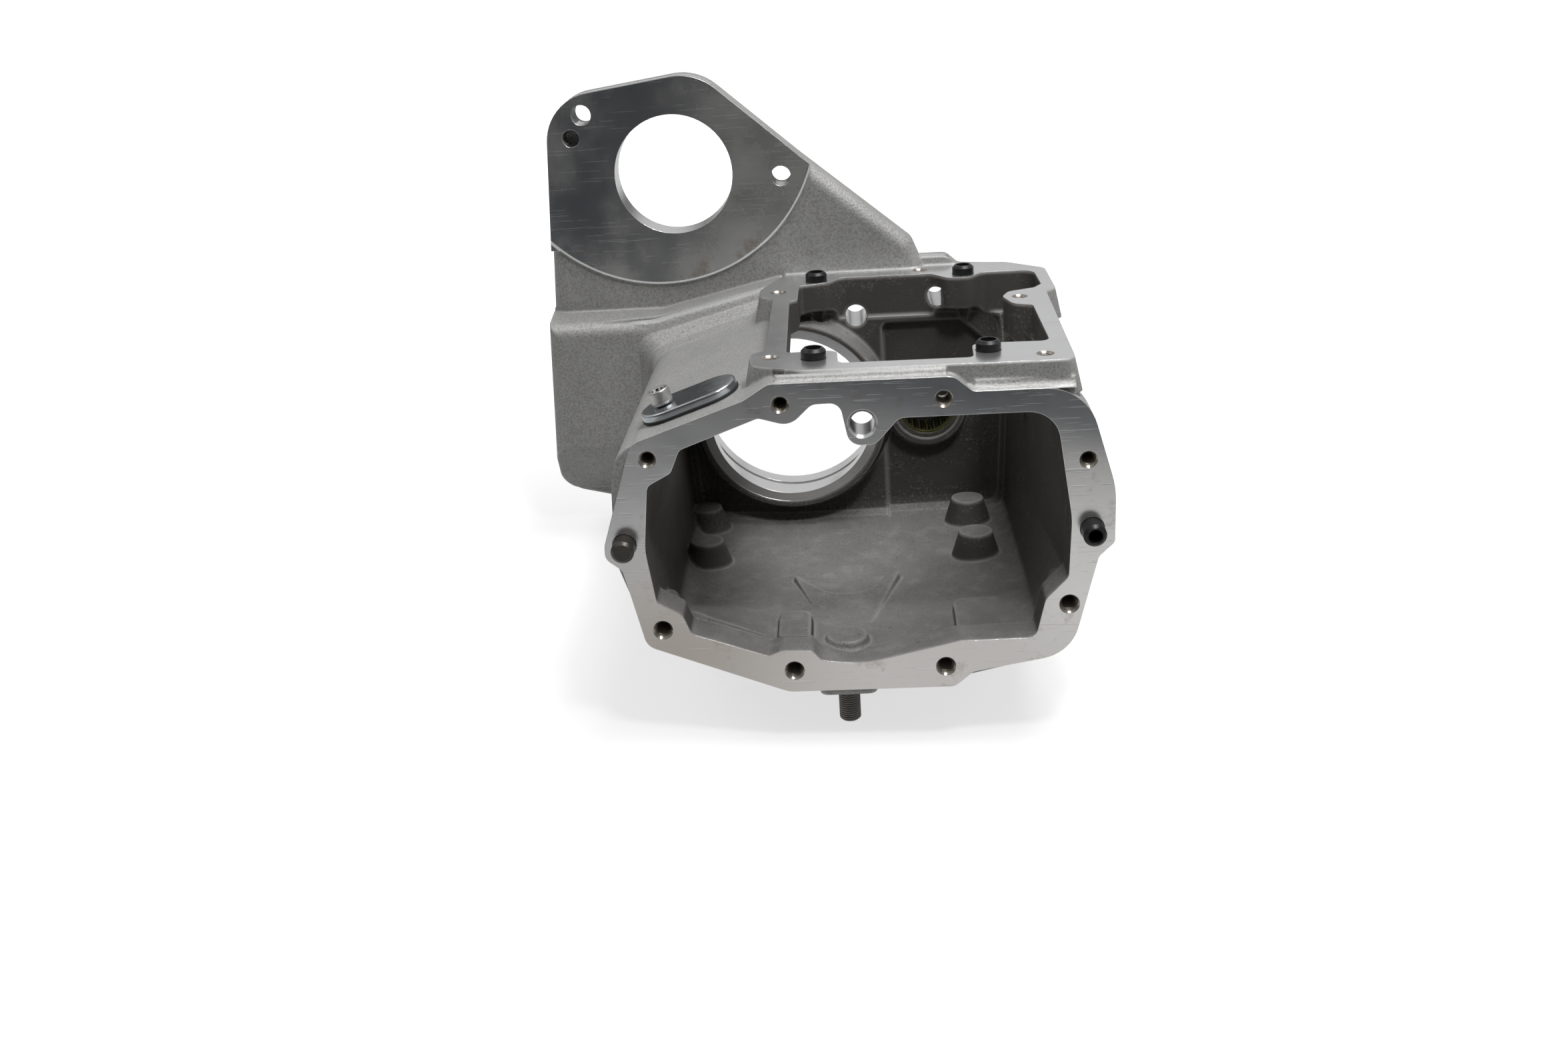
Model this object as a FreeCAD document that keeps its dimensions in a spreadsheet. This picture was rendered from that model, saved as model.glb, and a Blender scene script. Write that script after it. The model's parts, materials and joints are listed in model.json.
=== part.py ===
import FreeCAD, Part
import math
import os
from FreeCAD import Placement, Rotation, Vector

# Cast aluminium gearbox housing with a starter mounting plate in one piece.
# Origin: centre of the mainshaft bore at the inner edge of its lip. +X to the right, +Z up,
# +Y from the open door face towards the outer mounting face. Sizes are in millimetres.

doc = FreeCAD.newDocument("gearbox_housing")
sheet = doc.addObject("Spreadsheet::Sheet", "Sizes")

SIZES = [
    # main planes
    ("door_face", 155.0, "door face in front of the bore lip"),
    ("outer_face", 40.0, "outer mounting face behind the bore lip"),
    ("top_face", 66.0, "machined top face above the bore axis"),
    ("wall_face", 10.5, "inner back wall behind the bore lip"),
    # mainshaft bearing seat
    ("lip_radius", 40.0, "opening of the inner lip"),
    ("lip_length", 7.0, "depth of that lip"),
    ("seat_radius", 45.0, "mainshaft seat"),
    ("seat_length", 20.0, "length of the seat up to its groove"),
    ("seat_groove_width", 3.15, "ring groove behind the seat"),
    ("seat_groove_depth", 1.75, "depth of that groove"),
    ("seat_boss_wall", 2.0, "metal round the seat at the inner end of its boss"),
    ("seat_boss_taper", 4.0, "growth of the boss radius down to the wall"),
    ("spot_face_width", 4.4, "machined ring round the lip"),
    ("spot_face_depth", 0.6, "depth of that ring"),
    # countershaft bearing seat
    ("counter_x", 67.3, "countershaft axis"),
    ("counter_z", -0.5, "countershaft axis"),
    ("counter_radius", 15.9, "seat of the needle bearing cup"),
    ("collar_wall", 3.6, "cast collar round that seat"),
    ("collar_face", 8.0, "inner face of the collar"),
    ("cup_length", 20.0, "length of the cup"),
    ("cup_wall", 1.1, "sheet of the cup"),
    ("cup_lip", 2.2, "height of the turned-in lips"),
    ("roller_radius", 1.25, "needle roller"),
    ("roller_length", 15.0, "needle roller"),
    ("roller_clearance", 0.08, "between rollers and cup"),
    ("roller_count", 22.0, "needle rollers in the cage"),
    ("cage_gap", 0.4, "radial gap between the cage rings and the cup"),
    ("cage_height", 1.6, "radial height of the cage"),
    ("cage_bar", 0.9, "bar between two rollers"),
    ("cage_ring", 1.0, "length of each end ring of the cage"),
    ("cage_play", 0.15, "end play of the rollers in the cage"),
    # starter plate
    ("starter_x", -51.4, "starter axis"),
    ("starter_z", 118.2, "starter axis"),
    ("starter_radius", 28.6, "starter nose bore"),
    ("starter_face", 23.4, "machined starter face"),
    ("starter_bolt_circle", 52.0, "radius to the starter bolts"),
    ("starter_bolt_radius", 4.8, "starter bolt hole"),
    ("starter_pin_radius", 4.2, "blind dowel hole"),
    ("starter_pin_depth", 12.0, "depth of the dowel hole"),
    ("pad_arc_radius", 78.2, "cutter arc under the starter face"),
    ("starter_step", 1.6, "step from the starter face down to the cast web"),
    # door face holes, seen from the front
    ("door_a_x", -53.2, "upper left"),
    ("door_a_z", 33.5, "upper left"),
    ("door_b_x", 1.6, "top left"),
    ("door_b_z", 53.9, "top left"),
    ("door_c_x", 66.6, "top right"),
    ("door_c_z", 53.3, "top right"),
    ("door_d_x", 123.8, "upper right"),
    ("door_d_z", 25.2, "upper right"),
    ("door_e_x", 116.5, "lower right"),
    ("door_e_z", -37.7, "lower right"),
    ("door_f_x", 65.0, "bottom right"),
    ("door_f_z", -64.0, "bottom right"),
    ("door_g_x", 1.2, "bottom left"),
    ("door_g_z", -63.3, "bottom left"),
    ("door_h_x", -52.9, "lower left"),
    ("door_h_z", -42.1, "lower left"),
    ("door_small_radius", 2.75, "quarter inch thread, minor radius"),
    ("door_large_radius", 3.35, "five sixteenths thread, minor radius"),
    ("door_hole_depth", 22.0, "depth of the door threads"),
    ("fit_clearance", 0.02, "radial clearance of dowels, stud and cup in their holes"),
    ("hole_chamfer", 0.9, "chamfer at threaded holes"),
    ("rim_margin", 9.0, "metal round a door hole"),
    ("rim_depth", 18.0, "depth of the door rim with its lobes"),
    ("boss_fade", 16.0, "length over which a hole boss fades out"),
    ("shift_x", 34.0, "shift shaft bore"),
    ("shift_z", 44.4, "shift shaft bore"),
    ("shift_radius", 4.9, "shift shaft bore"),
    ("shift_chamfer", 1.2, "chamfer of that bore"),
    # door dowels
    ("dowel_left_x", -65.7, "solid door dowel"),
    ("dowel_left_z", -3.2, "solid door dowel"),
    ("dowel_right_x", 125.6, "hollow door dowel"),
    ("dowel_right_z", -4.6, "hollow door dowel"),
    ("door_dowel_radius", 4.76, "three eighths dowel"),
    ("door_dowel_reach", 9.0, "dowel in front of the door face"),
    ("door_dowel_depth", 13.0, "dowel behind the door face"),
    ("door_dowel_bore", 2.9, "hole through the hollow dowel"),
    # top face holes
    ("strip_x", -2.4, "left pair of top threads"),
    ("top_front_y", -127.5, "front left top thread"),
    ("top_back_y", -12.6, "back left top thread"),
    ("top_middle_x", 66.2, "back middle top thread"),
    ("top_middle_y", 20.4, "back middle top thread"),
    ("top_right_x", 108.3, "right pair of top threads"),
    ("top_right_front_y", -140.7, "front right top thread"),
    ("top_right_back_y", -43.3, "back right top thread"),
    ("top_hole_depth", 16.0, "depth of the top threads"),
    ("top_dowel_left_x", 15.4, "left top dowels"),
    ("top_dowel_spacing_x", 71.0, "top dowels, across"),
    ("top_dowel_front_y", -131.2, "front top dowels"),
    ("top_dowel_spacing_y", 139.7, "top dowels, front to back"),
    ("top_dowel_radius", 5.15, "hollow top dowel"),
    ("top_dowel_bore", 3.3, "hole through a top dowel"),
    ("top_dowel_reach", 4.4, "dowel above the top face"),
    ("top_dowel_depth", 6.0, "dowel below the top face"),
    ("dowel_chamfer", 1.2, "chamfer of the dowel ends"),
    ("root_step", 0.25, "dowels and stud are this much thinner inside the casting"),
    ("dowel_mouth", 0.3, "chamfered mouth of a dowel or stud hole, wider than the dowel"),
    ("top_bolt_radius", 2.75, "bolt hole under a top dowel"),
    ("top_bolt_depth", 27.0, "bolt hole under a top dowel"),
    # back wall holes
    ("wall_hole_a_x", 33.9, "through hole above the bore"),
    ("wall_hole_a_z", 47.0, "through hole above the bore"),
    ("wall_hole_b_x", 74.2, "through hole above the countershaft"),
    ("wall_hole_b_z", 55.2, "through hole above the countershaft"),
    ("wall_hole_radius", 5.1, "both through holes"),
    # inside
    ("floor_back", 57.5, "case floor below the axis at the back wall"),
    ("floor_front", 61.3, "case floor below the axis at the door"),
    ("recess_x", 46.5, "left edge of the back wall recess"),
    ("recess_top", 43.0, "top edge of the back wall recess"),
    ("recess_depth", 3.5, "depth of the back wall recess"),
    ("floor_boss_top", 7.8, "top radius of a floor boss"),
    ("floor_boss_foot", 12.5, "foot radius of a floor boss"),
    ("floor_boss_height", 13.0, "height of a floor boss"),
    ("step_height", 6.7, "raised floor behind the lower right of the door rim"),
    ("ramp_rise", 4.2, "height of the wedge on the floor at its back edge"),
    ("block_top", 54.0, "top of the block behind the lower left lobe, below the axis"),
    ("disc_radius", 9.4, "disc over the mounting stud"),
    ("disc_height", 3.0, "disc over the mounting stud"),
    # underside
    ("stud_x", 23.6, "mounting stud axis"),
    ("stud_y", -135.0, "mounting stud axis"),
    ("stud_radius", 4.76, "three eighths stud"),
    ("stud_reach", 19.0, "stud below its pad"),
    ("stud_depth", 14.0, "stud inside the casting"),
    ("stud_chamfer", 1.0, "end of the stud"),
    ("stud_pad_face", 78.0, "pad face below the axis"),
    ("stud_pad_width", 24.4, "pad across"),
    ("stud_pad_length", 30.0, "pad front to back"),
    # left end box behind the shoulder
    ("box_left", -117.0, "left wall of the end box at the axis height"),
    ("box_face", 7.0, "front of the end box"),
    ("box_bottom", -14.0, "lower edge of that front"),
    ("box_top", 49.5, "upper edge of that front"),
    ("box_foot", -43.0, "lowest edge at the outer face"),
    ("box_length", 72.0, "length of the end box to the right of its left wall"),
    ("box_wall", 8.0, "wall of the hollow behind the box"),
    ("box_edge", 5.0, "rounded edge of the box"),
    ("web_edge", 7.0, "rounded edge of the cast web"),
    ("saddle_radius", 16.0, "hollow blend between the case and the box"),
    ("deck_cove", 3.6, "hollow blend in front of the top deck"),
    # sensor hole cover on the sloped shoulder
    ("cover_x", -36.1, "centre of the cover"),
    ("cover_y", -129.6, "centre of the cover"),
    ("cover_length", 42.0, "cover end to end"),
    ("cover_width", 25.2, "cover across"),
    ("cover_plate", 3.2, "cover plate thickness"),
    ("gasket_plate", 1.0, "gasket thickness"),
    ("cover_pad", 0.2, "machined pad above the edge of the door rim"),
    ("cover_screw_offset", 10.6, "screw from the cover centre"),
    ("screw_head_radius", 4.7, "socket head"),
    ("screw_head_height", 6.4, "socket head"),
    ("screw_radius", 3.1, "screw shank"),
    ("screw_length", 16.0, "screw below its head"),
    ("screw_lift", 0.4, "gap under the screw head"),
    ("screw_head_chamfer", 0.6, "edge of the socket head"),
    ("screw_socket", 2.4, "hexagon socket, half across flats"),
    ("screw_socket_depth", 3.2, "hexagon socket"),
    ("screw_hole_play", 0.3, "radial gap of the screw in the cover"),
    ("gasket_margin", 0.3, "gasket beyond the plate"),
    ("cover_round", 1.0, "rounded upper edge of the plate"),
    ("sensor_hole_radius", 5.5, "hole under the cover"),
]

for row, (alias, value, note) in enumerate(SIZES, start=1):
    sheet.set("A%d" % row, alias)
    sheet.set("B%d" % row, repr(value))
    sheet.set("C%d" % row, note)
    sheet.setAlias("B%d" % row, alias)
doc.recompute()


class Values:
    """Reads the sheet's cells by alias."""

    def __getattr__(self, alias):
        return float(sheet.get(alias))


v = Values()


def bind(item, **formulas):
    """Ties an object's properties to the sheet."""
    for name, formula in formulas.items():
        path = name.replace("__", ".")
        item.setExpression(path, formula)


def rounded_wire(corners, place):
    """Closed wire through rounded corners (a, b, radius); place turns (a, b) into a point."""
    count = len(corners)
    ends = []
    for index, (a, b, radius) in enumerate(corners):
        here = Vector(a, b, 0)
        before = Vector(*corners[index - 1][:2], 0) - here
        after = Vector(*corners[(index + 1) % count][:2], 0) - here
        turn = math.pi - before.getAngle(after)
        reach = radius * math.tan(turn / 2)
        reach = min(reach, 0.47 * before.Length, 0.47 * after.Length)
        radius = reach / math.tan(turn / 2)
        start = here + Vector(before).normalize() * reach
        end = here + Vector(after).normalize() * reach
        middle_line = (Vector(before).normalize() + Vector(after).normalize()).normalize()
        sagitta = radius / math.cos(turn / 2) - radius
        ends.append((start, here + middle_line * sagitta, end))
    edges = []
    for index, (start, middle, end) in enumerate(ends):
        edges.append(Part.Arc(place(start), place(middle), place(end)).toShape())
        following = ends[(index + 1) % count][0]
        edges.append(Part.makeLine(place(end), place(following)))
    return Part.Wire(edges)


def across(y):
    """Places sketch points (x, z) in the plane at y."""
    return lambda point: Vector(point.x, y, point.y)


def level(z):
    """Places sketch points (x, y) in the level plane at z."""
    return lambda point: Vector(point.x, point.y, z)


def upright(x):
    """Places sketch points (y, z) in the plane at x."""
    return lambda point: Vector(x, point.x, point.y)


def feature(name, shape):
    item = doc.addObject("Part::Feature", name)
    item.Shape = shape
    return item


def prism(name, corners, place, direction):
    """Solid of a rounded outline carried along a direction."""
    face = Part.Face(rounded_wire(corners, place))
    return feature(name, face.extrude(direction))


def section_loft(name, sections):
    """Ruled solid through rounded outlines with equal numbers of corners."""
    wires = [rounded_wire(corners, place) for corners, place in sections]
    return feature(name, Part.makeLoft(wires, True, True))


def cylinder(name, radius, height, x, y, z, along):
    """Cylinder bound to the sheet: along is the direction its length runs."""
    item = doc.addObject("Part::Cylinder", name)
    bind(item, Radius=radius, Height=height)
    item.Placement.Rotation = Rotation(Vector(0, 0, 1), along)
    bind(item, Placement__Base__x=x, Placement__Base__y=y, Placement__Base__z=z)
    return item


def cone(name, start, end, height, x, y, z, along):
    """Cone bound to the sheet: start and end are its radii."""
    item = doc.addObject("Part::Cone", name)
    bind(item, Radius1=start, Radius2=end, Height=height)
    item.Placement.Rotation = Rotation(Vector(0, 0, 1), along)
    bind(item, Placement__Base__x=x, Placement__Base__y=y, Placement__Base__z=z)
    return item


def fuse(name, items):
    item = doc.addObject("Part::MultiFuse", name)
    item.Shapes = items
    return item


def cut(name, base, tool):
    item = doc.addObject("Part::Cut", name)
    item.Base = base
    item.Tool = tool
    return item


def edge_round(name, base, radius, chosen):
    """Rounds the edges of a solid whose middle points pass a test."""
    doc.recompute()
    item = doc.addObject("Part::Fillet", name)
    item.Base = base
    edges = []
    for index, edge in enumerate(base.Shape.Edges, start=1):
        middle = edge.valueAt((edge.FirstParameter + edge.LastParameter) / 2)
        if chosen(middle):
            edges.append((index, radius, radius))
    item.Edges = edges
    return item


def cove(name, left, right, z, radius):
    """Hollow corner blend between the rim's upper side at z and the front of the top deck."""
    wall = deck_front() - 0.3
    low = z - 0.3
    arc = Part.Arc(Vector(left, wall - radius, z),
                   Vector(left, wall - 0.293 * radius, z + 0.293 * radius),
                   Vector(left, wall, z + radius))
    corners = [Vector(left, wall, z + radius), Vector(left, wall + 2, z + radius), Vector(left, wall + 2, low),
               Vector(left, wall - radius, low), Vector(left, wall - radius, z)]
    edges = [arc.toShape()]
    edges += [Part.makeLine(first, second) for first, second in zip(corners, corners[1:])]
    return feature(name, Part.Face(Part.Wire(edges)).extrude(Vector(right - left, 0, 0)))


BACK = Vector(0, 1, 0)
FRONT = Vector(0, -1, 0)
UP = Vector(0, 0, 1)
DOWN = Vector(0, 0, -1)
LETTERS = "abcdefgh"


def door_outline():
    """Outer edge of the door face, clockwise from the left ear: each lobe follows its hole."""
    edge = v.rim_margin
    left_x, left_z = v.dowel_left_x, v.dowel_left_z
    right_x, right_z = v.dowel_right_x, v.dowel_right_z
    return [
        (left_x - 0.96 * edge, left_z - 0.64 * edge, 5),
        (left_x - 0.92 * edge, left_z, 8),
        (v.door_a_x - 0.73 * edge, v.door_a_z + 0.73 * edge, 8.7),
        (v.door_b_x - 1.62 * edge, v.door_b_z + 0.25 * edge, 10),
        (v.door_b_x - 0.49 * edge, v.door_b_z + 0.96 * edge, 8),
        (v.door_c_x + 0.44 * edge, v.door_c_z + 1.0 * edge, 6),
        (v.door_c_x + 1.29 * edge, v.door_c_z + 0.27 * edge, 4),
        (v.door_d_x - 0.13 * edge, v.door_c_z + 0.27 * edge, 22),
        (right_x + 1.04 * edge, right_z + 1.9 * edge, 40),
        (right_x + 1.03 * edge, right_z - 0.7 * edge, 3),
        (right_x + 0.31 * edge, right_z - 1.38 * edge, 4),
        (v.door_e_x + 0.08 * edge, v.door_e_z - 2.5 * edge, 18),
        (v.door_f_x + 1.28 * edge, v.door_f_z - 0.34 * edge, 4),
        (v.door_f_x + 0.39 * edge, v.door_f_z - 1.07 * edge, 5),
        (v.door_g_x - 0.3 * edge, v.door_g_z - 1.1 * edge, 12),
        (v.door_h_x - 0.81 * edge, v.door_h_z - 0.81 * edge, 7),
        (left_x - 0.2 * edge, left_z - 1.25 * edge, 4),
    ]


def door_opening():
    """Inner edge of the door face, clockwise from the left wall."""
    edge = v.rim_margin
    return [
        (-57.5, -6.0, 30),
        (v.door_a_x - 0.12 * edge, v.door_a_z - 1.28 * edge, 4),
        (v.door_a_x + 1.0 * edge, v.door_a_z - 0.7 * edge, 4),
        (v.door_a_x + 1.46 * edge, v.door_a_z + 0.37 * edge, 4),
        (v.door_b_x - 1.01 * edge, v.door_b_z - 0.58 * edge, 3.5),
        (v.door_b_x + 0.38 * edge, v.door_b_z - 1.0 * edge, 8),
        (v.shift_x - 2.2 * edge, v.shift_z + 1.0 * edge, 5),
        (v.shift_x - 0.97 * edge, v.shift_z + 1.02 * edge, 5),
        (v.shift_x - 0.6 * edge, v.shift_z - 1.0 * edge, 7),
        (v.shift_x + 0.58 * edge, v.shift_z - 0.96 * edge, 6),
        (v.shift_x + 1.64 * edge, v.shift_z + 0.21 * edge, 5),
        (v.door_d_x - 1.42 * edge, v.door_c_z - 0.78 * edge, 13),
        (v.dowel_right_x - 0.91 * edge, 0.0, 40),
        (v.door_e_x - 0.03 * edge, v.door_e_z + 1.36 * edge, 5),
        (v.door_e_x - 1.08 * edge, v.door_e_z + 0.28 * edge, 5),
        (v.door_e_x - 1.54 * edge, v.door_e_z - 1.64 * edge, 5),
        (v.door_f_x + 0.67 * edge, v.door_f_z + 1.27 * edge, 3),
        (30.0, -v.floor_front - 0.2, 60),
        (v.door_g_x + 1.31 * edge, v.door_g_z + 0.46 * edge, 3),
        (v.door_g_x + 0.87 * edge, v.door_g_z + 0.97 * edge, 3),
        (v.door_g_x - 0.58 * edge, v.door_g_z + 1.03 * edge, 3),
        (v.door_g_x - 1.19 * edge, v.door_g_z + 0.79 * edge, 4),
        (v.door_h_x + 1.32 * edge, v.door_h_z - 0.28 * edge, 3.5),
        (v.door_h_x + 0.96 * edge, v.door_h_z + 0.7 * edge, 4),
        (v.door_h_x - 0.19 * edge, v.door_h_z + 1.39 * edge, 4),
    ]


def body_section(draft, drop):
    """Outer section of the case without lobes; draft 0 at the door rim, 1 at the outer wall.

    The lower left corner sinks behind the rim: drop 0 at the rim, 1 behind it.
    """
    return [
        (-70.5 + 4.5 * draft, -10.0, 18),
        (-68.5 + 2.5 * draft, 35.7 - 0.7 * draft, 16),
        (-7.0, 57.2 - 3 * draft, 10),
        (30.0, 59.8 - 3 * draft, 60),
        (119.5 - 2 * draft, 55.0 - 2 * draft, 22),
        (131.5 - 6 * draft, 4.0, 40),
        (116.5 - 2 * draft, -60.0 - 2 * draft, 18),
        (66.0, -71.0 + 5 * draft, 12),
        (0.0, -71.0 + 5 * draft, 14),
        (-58.5 + draft, -48.5 - 12.5 * drop, 12),
    ]


def saddle_section(y, spread):
    """Section of the blend that grows out of the case's left side and shoulder towards the box."""
    draft = (y + v.door_face - 2) / (v.outer_face + v.door_face - 10)
    side, corner, ridge = body_section(draft, 1)[:3]
    return [
        (side[0] - spread, side[1], 6),
        (corner[0] - spread, corner[1] + 0.95 * spread, 14),
        (-52.0 - 0.9 * spread, 41.2 + 0.6 * spread, 20),
        (ridge[0], ridge[1] + 0.65 * spread, 6),
        (ridge[0] + 6.0, ridge[1] - 6.0, 2),
        (ridge[0] + 6.0, 0.0, 2),
        (side[0] + 8.0, side[1] - 12.0, 4),
    ]


def case_section(draft, drop, inset=0.0):
    """Inner section of the case; draft 0 at the door rim, 1 at the back wall, drop as outside."""
    floor = v.floor_front + (v.floor_back - v.floor_front) * draft
    return [
        (-58.0 + 4 * draft + inset, -6.0, 25),
        (-53.0 + 2 * draft + inset, 27.5 - inset, 6),
        (-8.0, 48.0 - inset, 8),
        (12.0, 52.5 - inset, 20),
        (110.5 - 4 * draft - inset, 50.0 - inset, 10),
        (117.0 - 9 * draft - inset, 2.0, 40),
        (116.5 - 9.7 * draft - inset, -26.5, 8),
        (103.5 + 2 * draft - inset, -52.5 - 4 * draft + inset, 6),
        (67.0, 0.7 - floor + 2.2 - 2.2 * draft + inset, 20),
        (30.0, -floor + inset, 40),
        (-6.0, -floor + 4.0 - 4 * draft + inset, 20),
        (-53.5 + 2.5 * drop + inset, -37.5 - 17.5 * drop + inset, 9),
    ]


def deck_front():
    """Front wall of the top deck, a ledge behind the door face."""
    return -v.door_face + 4.0


def deck_outline(flare=0.0):
    """Edge of the machined top face; flare widens it towards its foot."""
    lobe = v.rim_margin
    front = deck_front() - 0.4 * flare
    left, right = v.strip_x - flare, v.top_right_x + flare
    return [
        (left - 0.8 * lobe, v.top_front_y - 1.33 * lobe, 8),
        (v.strip_x + 1.3 * lobe, front + 2.4, 10),
        (right + 1.22 * lobe, front, 6),
        (right + 1.44 * lobe, v.top_right_back_y + 0.87 * lobe, 2),
        (right + 1.98 * lobe, v.top_right_back_y + 1.42 * lobe, 4),
        (right + 1.98 * lobe, 12.5, 8),
        (v.top_right_x + 0.02 * lobe, 29.8, 10),
        (86.0, 33.0, 12),
        (0.5, 26.6, 2),
        (left - 0.98 * lobe, v.top_back_y + 0.68 * lobe, 7),
        (left - 0.99 * lobe, v.top_back_y - 0.7 * lobe, 7),
        (left - 0.26 * lobe, v.top_back_y - 1.38 * lobe, 4),
        (left - 0.26 * lobe, v.top_front_y + 1.17 * lobe, 4),
        (left - 0.98 * lobe, v.top_front_y + 0.6 * lobe, 6),
    ]


def top_opening():
    """Edge of the opening in the top face, from the front left dowel patch."""
    lobe = v.rim_margin
    left, right = v.top_dowel_left_x, v.top_dowel_left_x + v.top_dowel_spacing_x
    front, back = v.top_dowel_front_y, v.top_dowel_front_y + v.top_dowel_spacing_y
    wall = v.top_right_x + 0.46 * lobe
    post_y = v.top_right_back_y
    return [
        (v.strip_x + 0.7 * lobe, front + 1.09 * lobe, 2),
        (left + 1.06 * lobe, front + 1.13 * lobe, 5),
        (left + 1.11 * lobe, -v.door_face + 14.6, 3),
        (right - 0.74 * lobe, -v.door_face + 13.6, 3),
        (right - 0.64 * lobe, front + 1.22 * lobe, 5),
        (wall, front + 1.06 * lobe, 4),
        (wall, post_y - 1.89 * lobe, 3),
        (v.top_right_x - 0.48 * lobe, post_y - 1.41 * lobe, 6),
        (v.top_right_x - 0.86 * lobe, post_y + 0.14 * lobe, 7),
        (v.top_right_x - 0.48 * lobe, post_y + 1.14 * lobe, 6),
        (v.top_right_x + 0.92 * lobe, post_y + 1.76 * lobe, 3),
        (v.top_right_x + 1.36 * lobe, post_y + 2.5 * lobe, 2),
        (v.top_right_x + 1.32 * lobe, back + 0.1 * lobe, 8),
        (right + 1.01 * lobe, back + 0.1 * lobe, 4),
        (right + 0.22 * lobe, back - 0.94 * lobe, 5),
        (right - 0.93 * lobe, back - 0.81 * lobe, 5),
        (v.top_middle_x + 0.48 * lobe, v.wall_face + 1.1, 5),
        (left + 1.29 * lobe, v.wall_face + 2.1, 4),
        (left + 0.62 * lobe, back - 0.59 * lobe, 3),
        (left - 0.91 * lobe, back - 1.06 * lobe, 2),
        (left - 0.95 * lobe, back - 4.2 * lobe, 3),
        (v.strip_x + 0.62 * lobe, back - 4.45 * lobe, 3),
    ]


def starter_outline():
    """Edge of the starter plate and the web that slopes down to its right."""
    x, z = v.starter_x, v.starter_z
    return [
        (v.box_left - 0.5, v.box_top - 6.0, 2),
        (x - 58.6, z + 37.8, 24),
        (x + 13.8, z + 47.6, 26),
        (x + 61.4, z + 5.6, 20),
        (x + 114.4, z - 38.7, 8),
        (x + 120.0, v.top_face, 2),
        (x + 120.0, v.top_face - 16.0, 2),
        (-60.0, 30.0, 2),
    ]


def outer_wall_outline():
    """Edge of the plate at the outer face, clockwise from the lower left corner."""
    return [
        (v.box_left - 5.0, v.box_foot + 2.0, 13),
        (v.box_left, v.box_top + 6.0, 3),
        (0.0, v.top_face + 1.6, 3),
        (62.0, v.top_face + 1.6, 3),
        (66.0, v.top_face + 4.4, 5),
        (80.0, v.top_face + 4.4, 5),
        (86.0, v.top_face - 1.0, 4),
        (116.0, v.top_face - 3.0, 12),
        (126.5, 0.0, 60),
        (118.0, -62.0, 22),
        (55.0, -65.5, 20),
        (-45.0, -65.5, 25),
        (v.box_left + 19.0, v.box_foot - 4.0, 12),
    ]


def box_profile(inset=0.0):
    """Side view (y, z) of the end box; inset gives the hollow inside it."""
    return [
        (v.outer_face + inset, v.box_foot + inset, 1),
        (v.outer_face - 10.0 - 0.2 * inset, v.box_foot + inset, 6),
        (v.box_face + inset, v.box_bottom + 0.6 * inset, 6),
        (v.box_face + inset, v.box_top - inset, 7),
        (v.outer_face - 14.0, v.box_top + 3.0 - inset, 4),
        (v.outer_face + inset, v.box_top + 3.0 - inset, 1),
    ]


def oblong(length, width):
    """Slot outline about the origin, its length along the first direction."""
    return [
        (-length / 2, -width / 2, 0.499 * width),
        (length / 2, -width / 2, 0.499 * width),
        (length / 2, width / 2, 0.499 * width),
        (-length / 2, width / 2, 0.499 * width),
    ]


# outside of the casting
rim_back = -v.door_face + v.rim_depth
door_rim = prism("DoorRim", door_outline(), across(-v.door_face), BACK * v.rim_depth)
body = section_loft("CaseBody", [
    (body_section(0, 0), across(-v.door_face + 2)),
    (body_section(0.19, 1), across(rim_back + 19)),
    (body_section(1, 1), across(v.outer_face - 8)),
])
deck = section_loft("TopDeck", [
    (deck_outline(), level(v.top_face)),
    (deck_outline(3.0), level(v.top_face - 14)),
])
outer_wall = prism("OuterWall", outer_wall_outline(), across(v.outer_face - 10), BACK * 10)
web_face = v.starter_face + v.starter_step
web_stock = prism("StarterWebStock", starter_outline(), across(web_face), BACK * (v.outer_face - web_face))
web = edge_round("StarterWeb", web_stock, v.web_edge, lambda point: (
    abs(point.y - web_face) < 0.01 and point.x > v.starter_x + 40 and point.z > v.top_face))
pad_stock = prism("StarterPadStock", starter_outline(), across(v.starter_face), BACK * (2 * v.starter_step))
pad_arc = cylinder("StarterPadArc", "Sizes.pad_arc_radius", "Sizes.outer_face",
                   "Sizes.starter_x - 7.6", "0", "Sizes.starter_z + 24.8", BACK)
pad_lobe = cylinder("StarterPadLobe", "2 * Sizes.starter_bolt_radius", "Sizes.outer_face",
                    "Sizes.starter_x + Sizes.starter_bolt_circle * cos(-3.7 deg)", "0",
                    "Sizes.starter_z + Sizes.starter_bolt_circle * sin(-3.7 deg)", BACK)
pad_end = doc.addObject("Part::Box", "StarterPadEnd")
bind(pad_end, Length="16", Width="Sizes.outer_face", Height="40", Placement__Base__x="Sizes.starter_x - 73",
     Placement__Base__z="Sizes.starter_z - 34.4")
pad = doc.addObject("Part::Common", "StarterPad")
pad.Base = pad_stock
pad.Tool = fuse("StarterPadEdge", [pad_arc, pad_lobe, pad_end])
box_side = prism("BoxSide", box_profile(), upright(v.box_left - 8), Vector(v.box_length + 8, 0, 0))
box_front = prism("BoxFront", outer_wall_outline(), across(0), BACK * v.outer_face)
box_stock = doc.addObject("Part::Common", "EndBoxStock")
box_stock.Base = box_side
box_stock.Tool = box_front
low_corner, high_corner = outer_wall_outline()[:2]
wall_lean = (high_corner[0] - low_corner[0]) / (high_corner[1] - low_corner[1])
plan_top = v.top_face
plan_left = high_corner[0] + (plan_top - high_corner[1]) * wall_lean
plan_drop = plan_top - 2 * low_corner[1]
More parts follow.
